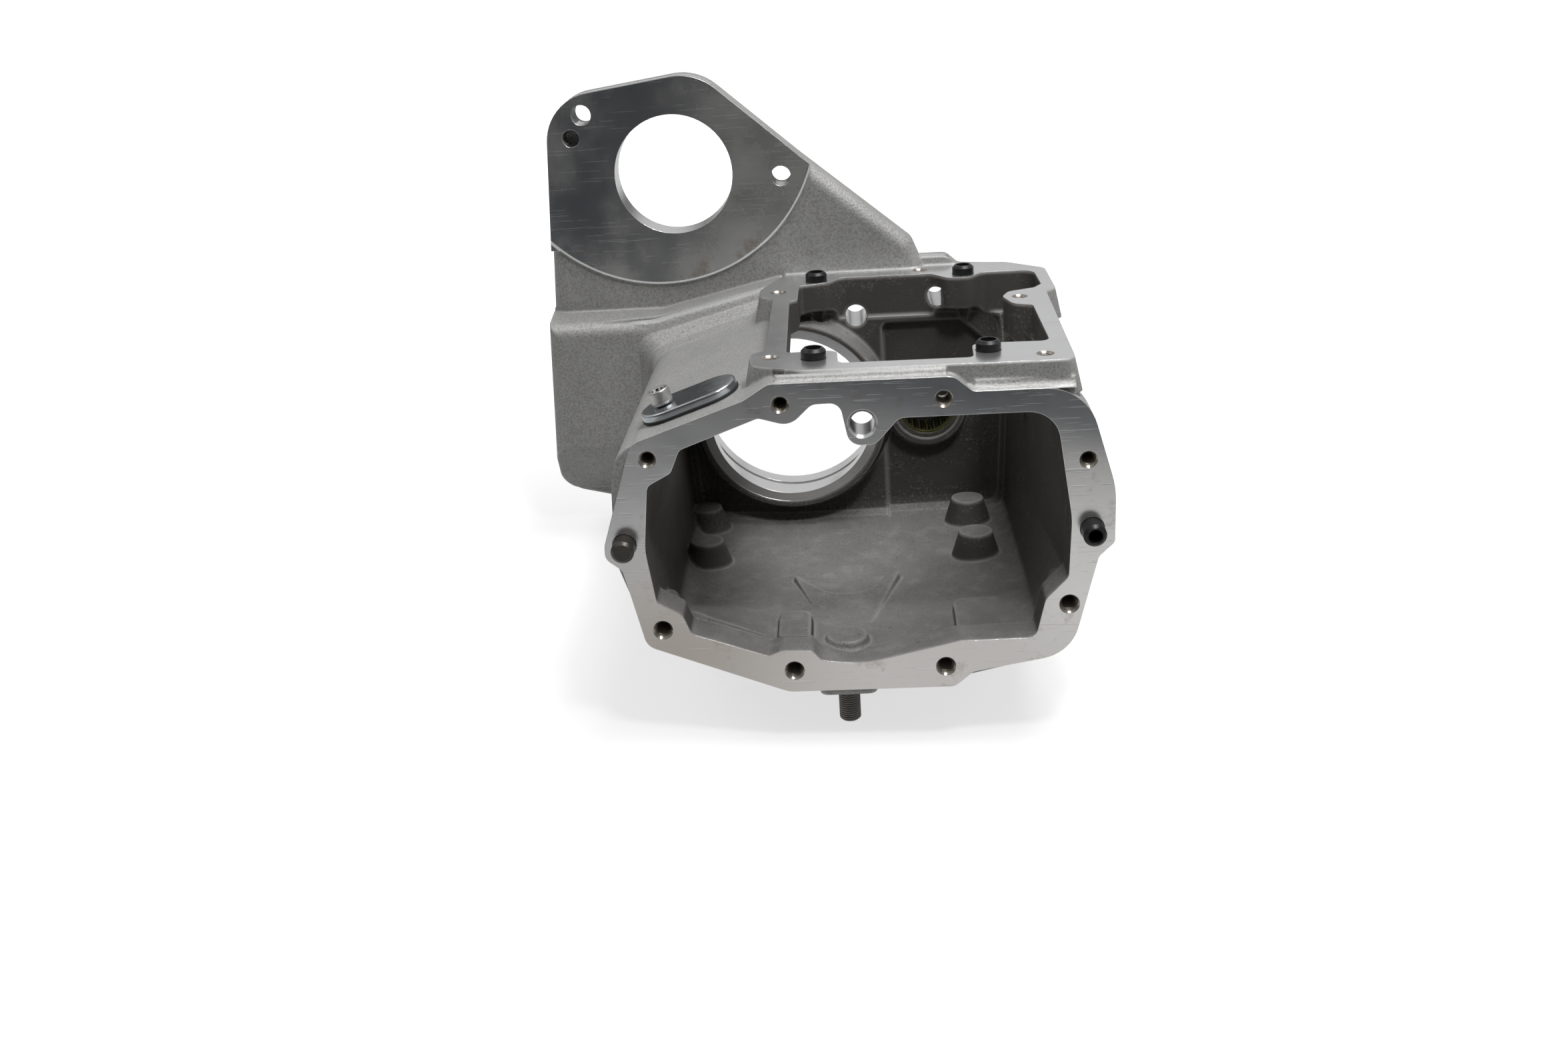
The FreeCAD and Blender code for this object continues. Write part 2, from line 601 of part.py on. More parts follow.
box_plan = prism("BoxPlan", [
    (plan_left, v.box_face, v.box_edge),
    (plan_left + 2 * v.box_length, v.box_face, 2),
    (plan_left + 2 * v.box_length, v.outer_face + 5, 2),
    (plan_left, v.outer_face + 5, 2),
], level(plan_top), Vector(-plan_drop * wall_lean, 0, -plan_drop))
box = doc.addObject("Part::Common", "EndBox")
box.Base = box_stock
box.Tool = box_plan
saddle_sections = []
for angle in (0, 30, 60, 90):
    turn = math.radians(angle)
    y = v.box_face - 14 + v.saddle_radius * math.sin(turn)
    saddle_sections.append((saddle_section(y, v.saddle_radius * (1 - math.cos(turn)) - 0.4), across(y)))
saddle = section_loft("Saddle", saddle_sections)
bridge = prism("ShoulderBridge", [
    (-90.0, 10.0, 2),
    (-90.0, v.box_top + 1.0, 2),
    (-62.0, v.box_top + 2.5, 25),
    (-2.0, v.top_face - 0.5, 3),
    (2.0, v.top_face - 6.0, 2),
    (2.0, 10.0, 2),
], across(v.box_face + 3), BACK * 20)
stud_pad = prism("StudPad", [
    (v.stud_x - v.stud_pad_width / 2, v.stud_y - v.stud_pad_length / 2, 4),
    (v.stud_x + v.stud_pad_width / 2, v.stud_y - v.stud_pad_length / 2, 4),
    (v.stud_x + v.stud_pad_width / 2, v.stud_y + v.stud_pad_length / 2, 4),
    (v.stud_x - v.stud_pad_width / 2, v.stud_y + v.stud_pad_length / 2, 4),
], level(-v.stud_pad_face), UP * 16)

# the left shoulder carries the sensor hole cover
low_end, high_end = door_outline()[2:4]
SHOULDER_ALONG = Vector(high_end[0] - low_end[0], 0, high_end[1] - low_end[1]).normalize()
SHOULDER_UP = SHOULDER_ALONG.cross(BACK)
shoulder_z = low_end[1] + (v.cover_x - low_end[0]) * SHOULDER_ALONG.z / SHOULDER_ALONG.x
cover_centre = Vector(v.cover_x, v.cover_y, shoulder_z)


def on_shoulder(height):
    """Places sketch points (along, back) on the shoulder, raised by height."""
    return lambda point: cover_centre + SHOULDER_ALONG * point.x + BACK * point.y + SHOULDER_UP * height


cover_pad = prism("CoverPad", oblong(v.cover_length, v.cover_width), on_shoulder(-6.0),
                  SHOULDER_UP * (6.0 + v.cover_pad))

coves = [
    cove("DeckCoveRight", 79.0, 119.0, door_outline()[6][1], v.deck_cove),
    cove("DeckCoveLeft", 0.0, 68.0, door_outline()[5][1], 0.7 * v.deck_cove),
]
outside = fuse("Outside", [door_rim, body, deck, outer_wall, web, pad, box, bridge, saddle, stud_pad,
                           cover_pad] + coves)

# hole bosses behind the door rim fade out along the walls
bosses = []
for letter in "adefgh":
    bosses.append(cone("DoorBoss_" + letter, "Sizes.rim_margin * 0.9", "Sizes.rim_margin * 0.45",
                       "Sizes.boss_fade", "Sizes.door_%s_x" % letter, "Sizes.rim_depth - Sizes.door_face",
                       "Sizes.door_%s_z" % letter, BACK))
for side in ("left", "right"):
    bosses.append(cone("DowelBoss_" + side, "Sizes.rim_margin * 0.9", "Sizes.rim_margin * 0.4",
                       "Sizes.boss_fade", "Sizes.dowel_%s_x" % side, "Sizes.rim_depth - Sizes.door_face",
                       "Sizes.dowel_%s_z" % side, BACK))

# the hollow of the case
inner_wall = v.wall_face
corner = 7.0
case_hollow_sections = [
    (case_section(0, 0), across(rim_back - 2)),
    (case_section(0, 0), across(rim_back + 1)),
    (case_section(0.26, 1), across(rim_back + 37)),
]
for angle in (0, 30, 60, 90):
    turn = math.radians(angle)
    depth = inner_wall - corner + corner * math.sin(turn)
    case_hollow_sections.append((case_section(1, 1, corner * (1 - math.cos(turn))), across(depth)))
case_hollow = section_loft("CaseHollow", case_hollow_sections)
door_hole = prism("DoorOpening", door_opening(), across(-v.door_face - 1), BACK * (v.rim_depth + 1))
top_hole = prism("TopOpening", top_opening(), level(v.top_face + 1), DOWN * 21)
recess_front = prism("RecessFront", [
    (v.recess_x, -v.floor_front - 9.0, 2),
    (v.recess_x, v.recess_top, 3),
    (85.0, v.recess_top, 3),
    (104.0, 26.0, 6),
    (125.0, -20.0, 6),
    (125.0, -v.floor_front - 9.0, 2),
], across(v.wall_face - 2 * corner), BACK * (v.recess_depth + 3 * corner))
recess = doc.addObject("Part::Common", "WallRecess")
recess.Base = feature("RecessHollow", case_hollow.Shape.translated(BACK * v.recess_depth))
recess.Tool = recess_front
right_pocket = prism("RightPocket", [
    (102.0, -16.0, 5),
    (119.5, -16.0, 5),
    (119.5, 8.5, 7),
    (102.0, 8.5, 5),
], level(v.top_face - 16), DOWN * 32)
hollows = fuse("Hollows", [case_hollow, door_hole, top_hole, recess, right_pocket])
shell = cut("Shell", outside, hollows)

# cast features that stand inside the hollow; each floor boss has its depth below the axis last
FLOOR_BOSSES = [(-42.0, -48.5, 58.0), (-45.5, -3.0, 56.5), (86.0, -50.5, 60.0), (85.5, -5.0, 60.0)]
SEAT_BOSS = "(Sizes.seat_radius + Sizes.seat_boss_wall)"
COLLAR = "(Sizes.counter_radius + Sizes.collar_wall)"
seat_boss = cone("SeatBoss", SEAT_BOSS + " + Sizes.seat_boss_taper", SEAT_BOSS,
                 "Sizes.wall_face + Sizes.spot_face_depth + 4", "0", "Sizes.wall_face + 4", "0", FRONT)
collar = cone("CounterCollar", COLLAR + " + 2", COLLAR,
              "Sizes.wall_face + Sizes.recess_depth - Sizes.collar_face + 2", "Sizes.counter_x",
              "Sizes.wall_face + Sizes.recess_depth + 2", "Sizes.counter_z", FRONT)
floor_bosses = []
for number, (x, y, foot) in enumerate(FLOOR_BOSSES, start=1):
    item = doc.addObject("Part::Cone", "FloorBoss_%d" % number)
    bind(item, Radius1="Sizes.floor_boss_foot", Radius2="Sizes.floor_boss_top",
         Height="Sizes.floor_boss_height - Sizes.floor_back + %s" % foot)
    item.Placement = Placement(Vector(x, y, -foot), Rotation())
    floor_bosses.append(item)
disc_foot = -v.floor_front + 0.6
disc = doc.addObject("Part::Cone", "StudDisc")
bind(disc, Radius1="Sizes.disc_radius + 2.4", Radius2="Sizes.disc_radius - 0.8", Height="Sizes.disc_height + 3")
disc.Placement = Placement(Vector(v.stud_x, v.stud_y + 2, disc_foot - 3), Rotation())
post = cone("TopRightPost", "Sizes.rim_margin * 0.75", "Sizes.rim_margin * 0.55", "46",
            "Sizes.top_right_x + 1.5", "Sizes.top_right_back_y", "Sizes.top_face - 8", DOWN)


def ramp_outline(grow):
    """Arrow-shaped wedge on the floor, its arms running back from the disc."""
    return [
        (-2.5 - grow, -66.0 + 0.4 * grow, 1),
        (23.8, -98.0 + grow, 45),
        (51.0 + grow, -66.0 + 0.4 * grow, 1),
        (33.4 + 0.8 * grow, -115.5 - 0.3 * grow, 2),
        (14.6 - 0.8 * grow, -115.5 - 0.3 * grow, 2),
    ]


ramp_stock = section_loft("RampStock", [
    (ramp_outline(3.0), level(-v.floor_front - 2)),
    (ramp_outline(-3.0), level(-v.floor_front + 10)),
])
ramp_cut = doc.addObject("Part::Box", "RampCut")
ramp_cut.Length = 90
ramp_cut.Width = 90
ramp_cut.Height = 30
ramp_slope = math.degrees(math.atan((v.ramp_rise + 1.2) / 51))
ramp_cut.Placement = Placement(Vector(-20, -117, -v.floor_front + 0.9), Rotation(Vector(1, 0, 0), ramp_slope))
ramp = cut("FloorRamp", ramp_stock, ramp_cut)
block = section_loft("LobeBlock", [
    ([(-7.4, rim_back - 4, 2), (-7.4, -111.5, 5), (10.0, -111.5, 5), (10.0, rim_back - 4, 2)],
     level(-v.floor_front - 0.5)),
    ([(-5.6, rim_back - 4, 2), (-5.6, -114.0, 5), (8.2, -114.0, 5), (8.2, rim_back - 4, 2)],
     level(-v.block_top)),
])
step = prism("FloorStep", [
    (71.0, rim_back - 4, 3),
    (71.0, -106.0, 6),
    (104.0, -106.0, 3),
    (104.0, rim_back - 4, 3),
], level(-v.floor_front), UP * v.step_height)
inside_solid = fuse("CastInside", [shell, seat_boss, collar, disc, post, ramp, block, step] + floor_bosses + bosses)

# machining
drills = []
lip = cylinder("LipBore", "Sizes.lip_radius", "Sizes.outer_face + 20", "0", "-10", "0", BACK)
seat = cylinder("MainSeat", "Sizes.seat_radius", "Sizes.outer_face - Sizes.lip_length + 1",
                "0", "Sizes.lip_length", "0", BACK)
groove = cylinder("SeatGroove", "Sizes.seat_radius + Sizes.seat_groove_depth", "Sizes.seat_groove_width",
                  "0", "Sizes.lip_length + Sizes.seat_length", "0", BACK)
spot = cylinder("SpotFace", "Sizes.lip_radius + Sizes.spot_face_width", "10", "0", "-10", "0", BACK)
counter = cylinder("CounterSeat", "Sizes.counter_radius + Sizes.fit_clearance", "Sizes.cup_length + 6",
                   "Sizes.counter_x", "Sizes.collar_face - 5", "Sizes.counter_z", BACK)
starter = cylinder("StarterBore", "Sizes.starter_radius", "Sizes.outer_face",
                   "Sizes.starter_x", "5", "Sizes.starter_z", BACK)
drills += [lip, seat, groove, spot, counter, starter]
for name, angle, depth in (("BoltLeft", 144.3, 40), ("BoltRight", -3.7, 40), ("Pin", 157.8, 0)):
    radius = "Sizes.starter_bolt_radius" if depth else "Sizes.starter_pin_radius"
    length = "Sizes.outer_face" if depth else "Sizes.starter_pin_depth + 5"
    start = "Sizes.starter_face - 5"
    drills.append(cylinder("Starter" + name, radius, length,
                           "Sizes.starter_x + Sizes.starter_bolt_circle * cos(%s deg)" % angle, start,
                           "Sizes.starter_z + Sizes.starter_bolt_circle * sin(%s deg)" % angle, BACK))
for letter in "ab":
    drills.append(cylinder("WallHole_" + letter, "Sizes.wall_hole_radius", "Sizes.outer_face",
                           "Sizes.wall_hole_%s_x" % letter, "5", "Sizes.wall_hole_%s_z" % letter, BACK))
for letter in LETTERS:
    radius = "Sizes.door_small_radius" if letter in "abcd" else "Sizes.door_large_radius"
    x, z = "Sizes.door_%s_x" % letter, "Sizes.door_%s_z" % letter
    drills.append(cylinder("DoorHole_" + letter, radius, "Sizes.door_hole_depth", x, "-Sizes.door_face", z, BACK))
    drills.append(cone("DoorChamfer_" + letter, radius + " + Sizes.hole_chamfer", radius, "Sizes.hole_chamfer",
                       x, "-Sizes.door_face", z, BACK))
drills.append(cylinder("ShiftBore", "Sizes.shift_radius", "Sizes.rim_depth + 30", "Sizes.shift_x",
                       "-Sizes.door_face", "Sizes.shift_z", BACK))
drills.append(cone("ShiftChamfer", "Sizes.shift_radius + Sizes.shift_chamfer", "Sizes.shift_radius",
                   "Sizes.shift_chamfer", "Sizes.shift_x", "-Sizes.door_face", "Sizes.shift_z", BACK))


def root_hole(name, radius, depth, place, along):
    """Hole for the thinner root of a dowel or stud, with a mouth wider than the dowel itself."""
    bottom = radius + " - Sizes.root_step + Sizes.fit_clearance"
    drills.append(cylinder(name, bottom, depth, *place, along))
    drills.append(cone(name + "Mouth", radius + " + Sizes.dowel_mouth", bottom,
                       "Sizes.root_step + Sizes.dowel_mouth", *place, along))


for side in ("left", "right"):
    root_hole("DowelHole_" + side, "Sizes.door_dowel_radius", "Sizes.door_dowel_depth",
              ("Sizes.dowel_%s_x" % side, "-Sizes.door_face", "Sizes.dowel_%s_z" % side), BACK)
TOP_THREADS = [("strip_x", "top_front_y"), ("strip_x", "top_back_y"), ("top_middle_x", "top_middle_y"),
               ("top_right_x", "top_right_front_y"), ("top_right_x", "top_right_back_y")]
for number, (x, y) in enumerate(TOP_THREADS, start=1):
    drills.append(cylinder("TopThread_%d" % number, "Sizes.door_small_radius", "Sizes.top_hole_depth",
                           "Sizes." + x, "Sizes." + y, "Sizes.top_face", DOWN))
    drills.append(cone("TopChamfer_%d" % number, "Sizes.door_small_radius + Sizes.hole_chamfer",
                       "Sizes.door_small_radius", "Sizes.hole_chamfer",
                       "Sizes." + x, "Sizes." + y, "Sizes.top_face", DOWN))
TOP_DOWELS = [("", " + Sizes.top_dowel_spacing_y"), (" + Sizes.top_dowel_spacing_x", " + Sizes.top_dowel_spacing_y"),
              ("", ""), (" + Sizes.top_dowel_spacing_x", "")]
for number, (x, y) in enumerate(TOP_DOWELS, start=1):
    place = ("Sizes.top_dowel_left_x" + x, "Sizes.top_dowel_front_y" + y, "Sizes.top_face")
    root_hole("TopDowelHole_%d" % number, "Sizes.top_dowel_radius", "Sizes.top_dowel_depth", place, DOWN)
    drills.append(cylinder("TopBoltHole_%d" % number, "Sizes.top_bolt_radius", "Sizes.top_bolt_depth", *place, DOWN))
root_hole("StudHole", "Sizes.stud_radius", "Sizes.stud_depth",
          ("Sizes.stud_x", "Sizes.stud_y", "-Sizes.stud_pad_face"), UP)
sensor_hole = feature("SensorHole", Part.makeCylinder(
    v.sensor_hole_radius, 30, cover_centre + SHOULDER_UP * 5, SHOULDER_UP * -1))
screw_seat = cover_centre + SHOULDER_ALONG * -v.cover_screw_offset
screw_hole = feature("ScrewHole", Part.makeCylinder(
    v.screw_radius + v.fit_clearance, 12 + v.cover_pad, screw_seat + SHOULDER_UP * v.cover_pad, SHOULDER_UP * -1))
drills += [sensor_hole, screw_hole]

# hollow behind the end box, open to the outer face
pocket_side = prism("PocketSide", box_profile(v.box_wall), upright(v.box_left + 8), Vector(54, 0, 0))
pocket_front = prism("PocketFront", [
    (v.box_left + 7.0, -35.0, 8),
    (v.box_left + 9.0, v.box_top - 4.0, 8),
    (-68.0, v.box_top - 6.0, 14),
    (-61.0, 0.0, 30),
    (-74.0, -36.0, 10),
], across(0), BACK * (v.outer_face + 1))
pocket = doc.addObject("Part::Common", "BoxPocket")
pocket.Base = pocket_side
pocket.Tool = pocket_front
drills.append(pocket)
machining = fuse("Machining", drills)
gearbox_case = cut("GearboxCase", inside_solid, machining)


def moved(place, along, distance):
    """The same place, given as formulas, carried a distance along one of the axes."""
    formulas = []
    for formula, part in zip(place, along):
        sign = "+" if part > 0 else "-"
        formulas.append("%s %s (%s)" % (formula, sign, distance) if part else formula)
    return formulas


def dowel(name, radius, depth, reach, chamfer, bore, place, along):
    """Pin that stands on a face at place, its thinner root inside the casting; bore makes it a tube."""
    inner_end = moved(place, along * -1, depth)
    root = cylinder(name + "Root", radius + " - Sizes.root_step", depth, *inner_end, along)
    shank = cylinder(name + "Shank", radius, "%s - %s" % (reach, chamfer), *place, along)
    tip = cone(name + "Tip", radius, "%s - %s" % (radius, chamfer), chamfer,
               *moved(place, along, "%s - %s" % (reach, chamfer)), along)
    solid = fuse(name + "Solid", [root, shank, tip])
    if not bore:
        return solid
    hole = cylinder(name + "Bore", bore, "%s + %s" % (depth, reach), *inner_end, along)
    return cut(name + "Tube", solid, hole)


PIECES = {"gearbox_case": gearbox_case}

# hollow dowels in the top face
for number, (x, y) in enumerate(TOP_DOWELS, start=1):
    place = ("Sizes.top_dowel_left_x" + x, "Sizes.top_dowel_front_y" + y, "Sizes.top_face")
    PIECES["top_dowel_%d" % number] = dowel(
        "TopDowel%d" % number, "Sizes.top_dowel_radius", "Sizes.top_dowel_depth", "Sizes.top_dowel_reach",
        "Sizes.dowel_chamfer", "Sizes.top_dowel_bore", place, UP)

# dowels in the door face, the left one solid and the right one hollow
for side, bore in (("left", ""), ("right", "Sizes.door_dowel_bore")):
    place = ("Sizes.dowel_%s_x" % side, "-Sizes.door_face", "Sizes.dowel_%s_z" % side)
    PIECES["door_dowel_" + side] = dowel(
        "DoorDowel" + side.capitalize(), "Sizes.door_dowel_radius", "Sizes.door_dowel_depth",
        "Sizes.door_dowel_reach", "Sizes.dowel_chamfer", bore, place, FRONT)

# stud under the casting
PIECES["mounting_stud"] = dowel(
    "MountingStud", "Sizes.stud_radius", "Sizes.stud_depth", "Sizes.stud_reach", "Sizes.stud_chamfer", "",
    ("Sizes.stud_x", "Sizes.stud_y", "-Sizes.stud_pad_face"), DOWN)

# drawn cup of the needle bearing with its turned-in lips
cup_place = ("Sizes.counter_x", "Sizes.collar_face", "Sizes.counter_z")
cup_outer = cylinder("CupOuter", "Sizes.counter_radius", "Sizes.cup_length", *cup_place, BACK)
cup_track = cylinder("CupTrack", "Sizes.counter_radius - Sizes.cup_wall",
                     "Sizes.cup_length - 2 * Sizes.cup_wall", *moved(cup_place, BACK, "Sizes.cup_wall"), BACK)
cup_mouth = cylinder("CupMouth", "Sizes.counter_radius - Sizes.cup_lip", "Sizes.cup_length", *cup_place, BACK)
PIECES["countershaft_bearing_cup"] = cut("BearingCup", cup_outer, fuse("CupHollow", [cup_track, cup_mouth]))

# needle rollers on their circle
TRACK = "(Sizes.counter_radius - Sizes.cup_wall)"
PITCH = "(%s - Sizes.roller_clearance - Sizes.roller_radius)" % TRACK
roller_count = int(v.roller_count)
rollers = []
for number in range(roller_count):
    angle = "%d * 360 / Sizes.roller_count * 1 deg" % number
    rollers.append(cylinder(
        "Roller_%d" % number, "Sizes.roller_radius", "Sizes.roller_length",
        "Sizes.counter_x + %s * cos(%s)" % (PITCH, angle),
        "Sizes.collar_face + (Sizes.cup_length - Sizes.roller_length) / 2",
        "Sizes.counter_z + %s * sin(%s)" % (PITCH, angle), BACK))
PIECES["countershaft_needle_rollers"] = fuse("NeedleRollers", rollers)

# cage: two rings joined by a bar between each two rollers
cage_length = "(Sizes.roller_length + 2 * Sizes.cage_play + 2 * Sizes.cage_ring)"
cage_place = ("Sizes.counter_x", "Sizes.collar_face + (Sizes.cup_length - %s) / 2" % cage_length, "Sizes.counter_z")
cage_tube = cylinder("CageTube", TRACK + " - Sizes.cage_gap", cage_length, *cage_place, BACK)
cage_bore = cylinder("CageBore", TRACK + " - Sizes.cage_gap - Sizes.cage_height", cage_length, *cage_place, BACK)
cage_sleeve = cut("CageSleeve", cage_tube, cage_bore)
pocket_tools = []
pitch_radius = v.counter_radius - v.cup_wall - v.roller_clearance - v.roller_radius
spacing = 2 * math.pi * pitch_radius / roller_count
for number in range(roller_count):
    window = doc.addObject("Part::Box", "Window_%d" % number)
    bind(window, Length="2 * Sizes.roller_radius + 4", Height="%.4f - Sizes.cage_bar" % spacing,
         Width="Sizes.roller_length + 2 * Sizes.cage_play")
    turn = Rotation(Vector(0, 1, 0), -360.0 * number / roller_count)
    corner_point = Vector(pitch_radius - v.roller_radius - 2, 0, (v.cage_bar - spacing) / 2)
    start = v.collar_face + (v.cup_length - v.roller_length) / 2 - v.cage_play
    window.Placement = Placement(Vector(v.counter_x, start, v.counter_z) + turn.multVec(corner_point), turn)
    pocket_tools.append(window)
PIECES["countershaft_bearing_cage"] = cut("BearingCage", cage_sleeve, fuse("CageWindows", pocket_tools))

# cover, gasket and screw on the shoulder
gasket_length = v.cover_length + 2 * v.gasket_margin
gasket_width = v.cover_width + 2 * v.gasket_margin
gasket_shape = prism("GasketOutline", oblong(gasket_length, gasket_width), on_shoulder(v.cover_pad),
                     SHOULDER_UP * v.gasket_plate)
plate_shape = prism("PlateOutline", oblong(v.cover_length, v.cover_width),
                    on_shoulder(v.cover_pad + v.gasket_plate), SHOULDER_UP * v.cover_plate)
top_edges = []
for index, edge in enumerate(plate_shape.Shape.Edges, start=1):
    heights = [(vertex.Point - cover_centre).dot(SHOULDER_UP) for vertex in edge.Vertexes]
    if min(heights) > v.cover_pad + v.gasket_plate + v.cover_plate - 0.01:
        top_edges.append((index, v.cover_round, v.cover_round))
plate_round = doc.addObject("Part::Fillet", "PlateRound")
plate_round.Base = plate_shape
plate_round.Edges = top_edges


def on_screw_axis(kind, name, height, **formulas):
    """Turned part of the screw, standing on the screw axis at a height over the shoulder."""
    item = doc.addObject(kind, name)
    bind(item, **formulas)
    item.Placement = Placement(screw_seat + SHOULDER_UP * height, Rotation(UP, SHOULDER_UP))
    return item


plate_top = v.cover_pad + v.gasket_plate + v.cover_plate
gasket_hole = on_screw_axis("Part::Cylinder", "GasketHole", 0, Height="20",
                            Radius="Sizes.screw_radius + Sizes.screw_hole_play")
plate_hole = on_screw_axis("Part::Cylinder", "PlateHole", 0, Height="20",
                           Radius="Sizes.screw_radius + Sizes.screw_hole_play")
PIECES["cover_gasket"] = cut("CoverGasket", gasket_shape, gasket_hole)
PIECES["sensor_hole_cover"] = cut("SensorHoleCover", plate_round, plate_hole)
head_foot = plate_top + v.screw_lift
head = on_screw_axis("Part::Cylinder", "ScrewHead", head_foot, Radius="Sizes.screw_head_radius",
                     Height="Sizes.screw_head_height - Sizes.screw_head_chamfer")
head_edge = on_screw_axis("Part::Cone", "ScrewHeadEdge", head_foot + v.screw_head_height - v.screw_head_chamfer,
                          Radius1="Sizes.screw_head_radius",
                          Radius2="Sizes.screw_head_radius - Sizes.screw_head_chamfer",
                          Height="Sizes.screw_head_chamfer")
shank = on_screw_axis("Part::Cylinder", "ScrewShank", head_foot - v.screw_length, Radius="Sizes.screw_radius",
                      Height="Sizes.screw_length")
socket = on_screw_axis("Part::Prism", "ScrewSocket", head_foot + v.screw_head_height - v.screw_socket_depth,
                       Circumradius="Sizes.screw_socket / cos(30 deg)", Height="Sizes.screw_socket_depth")
PIECES["cover_screw"] = cut("CoverScrew", fuse("ScrewSolid", [head, head_edge, shank]), socket)

doc.recompute()
for item in doc.Objects:
    if "Invalid" in item.State or "Error" in item.State:
        raise RuntimeError("%s failed: %s" % (item.Name, item.State))
for name, piece in PIECES.items():
    piece.Label = name
    if piece.Shape.isNull() or not piece.Shape.isValid():
        raise RuntimeError("%s has no valid shape" % name)
    print("%-28s %2d solids %12.1f mm3" % (name, len(piece.Shape.Solids), piece.Shape.Volume))
if len(gearbox_case.Shape.Solids) != 1:
    raise RuntimeError("the casting fell apart")

os.makedirs("parts", exist_ok=True)
for name, piece in PIECES.items():
    piece.Shape.exportStep("parts/%s.step" % name)
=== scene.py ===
import json
import math
import bmesh
import bpy
from mathutils import Matrix, Vector


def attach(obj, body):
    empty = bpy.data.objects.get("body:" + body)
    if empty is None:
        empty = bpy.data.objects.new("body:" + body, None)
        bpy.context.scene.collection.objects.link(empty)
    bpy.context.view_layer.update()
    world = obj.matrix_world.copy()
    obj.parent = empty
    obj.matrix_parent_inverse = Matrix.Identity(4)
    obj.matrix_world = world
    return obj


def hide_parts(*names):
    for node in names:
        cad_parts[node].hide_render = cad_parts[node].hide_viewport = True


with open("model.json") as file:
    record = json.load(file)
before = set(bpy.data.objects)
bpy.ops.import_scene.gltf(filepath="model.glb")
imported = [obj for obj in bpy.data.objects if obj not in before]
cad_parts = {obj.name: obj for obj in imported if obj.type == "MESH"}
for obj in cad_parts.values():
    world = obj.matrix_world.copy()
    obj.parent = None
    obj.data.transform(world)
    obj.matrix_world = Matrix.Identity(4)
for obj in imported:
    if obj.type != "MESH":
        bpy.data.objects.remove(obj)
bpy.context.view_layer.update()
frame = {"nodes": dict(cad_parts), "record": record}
nodes = frame["nodes"]

# Places and sizes are in millimetres, apart from the camera, floor and lamps, which are in metres.
MM = 0.001
PER_METRE = 1000.0

mounts = {mount["name"]: mount for mount in frame["record"]["mounts"]}


def mount_place(name):
    """A mount's x, y and z."""
    return [part / MM for part in mounts[name]["pos_m"]]


def mount_radius(name):
    return mounts[name]["dims"]["r_mm"]


DOOR_FACE = mount_place("door_face")[1]
OUTER_FACE = mount_place("outer_face")[1]
STARTER_FACE = mount_place("starter_face")[1]
TOP_FACE = mount_place("top_face")[2]
STUD_PAD = mount_place("stud_pad")[2]
DOOR_THREADS = ["door_thread_" + letter for letter in "abcdefgh"]
TOP_THREADS = ["top_thread_%d" % number for number in range(1, 6)]
TOP_DOWELS = ["top_dowel_pin_%d" % number for number in range(1, 5)]


# shader nodes from formulas

class Value:
    """One output socket, which can be used in sums."""

    def __init__(self, net, socket):
        self.net = net
        self.socket = socket

    def __add__(self, other):
        return self.net.math("ADD", self, other)

    def __radd__(self, other):
        return self.net.math("ADD", other, self)

    def __sub__(self, other):
        return self.net.math("SUBTRACT", self, other)

    def __rsub__(self, other):
        return self.net.math("SUBTRACT", other, self)

    def __mul__(self, other):
        return self.net.math("MULTIPLY", self, other)

    def __gt__(self, other):
        return self.net.math("GREATER_THAN", self, other)

    def __lt__(self, other):
        return self.net.math("LESS_THAN", self, other)


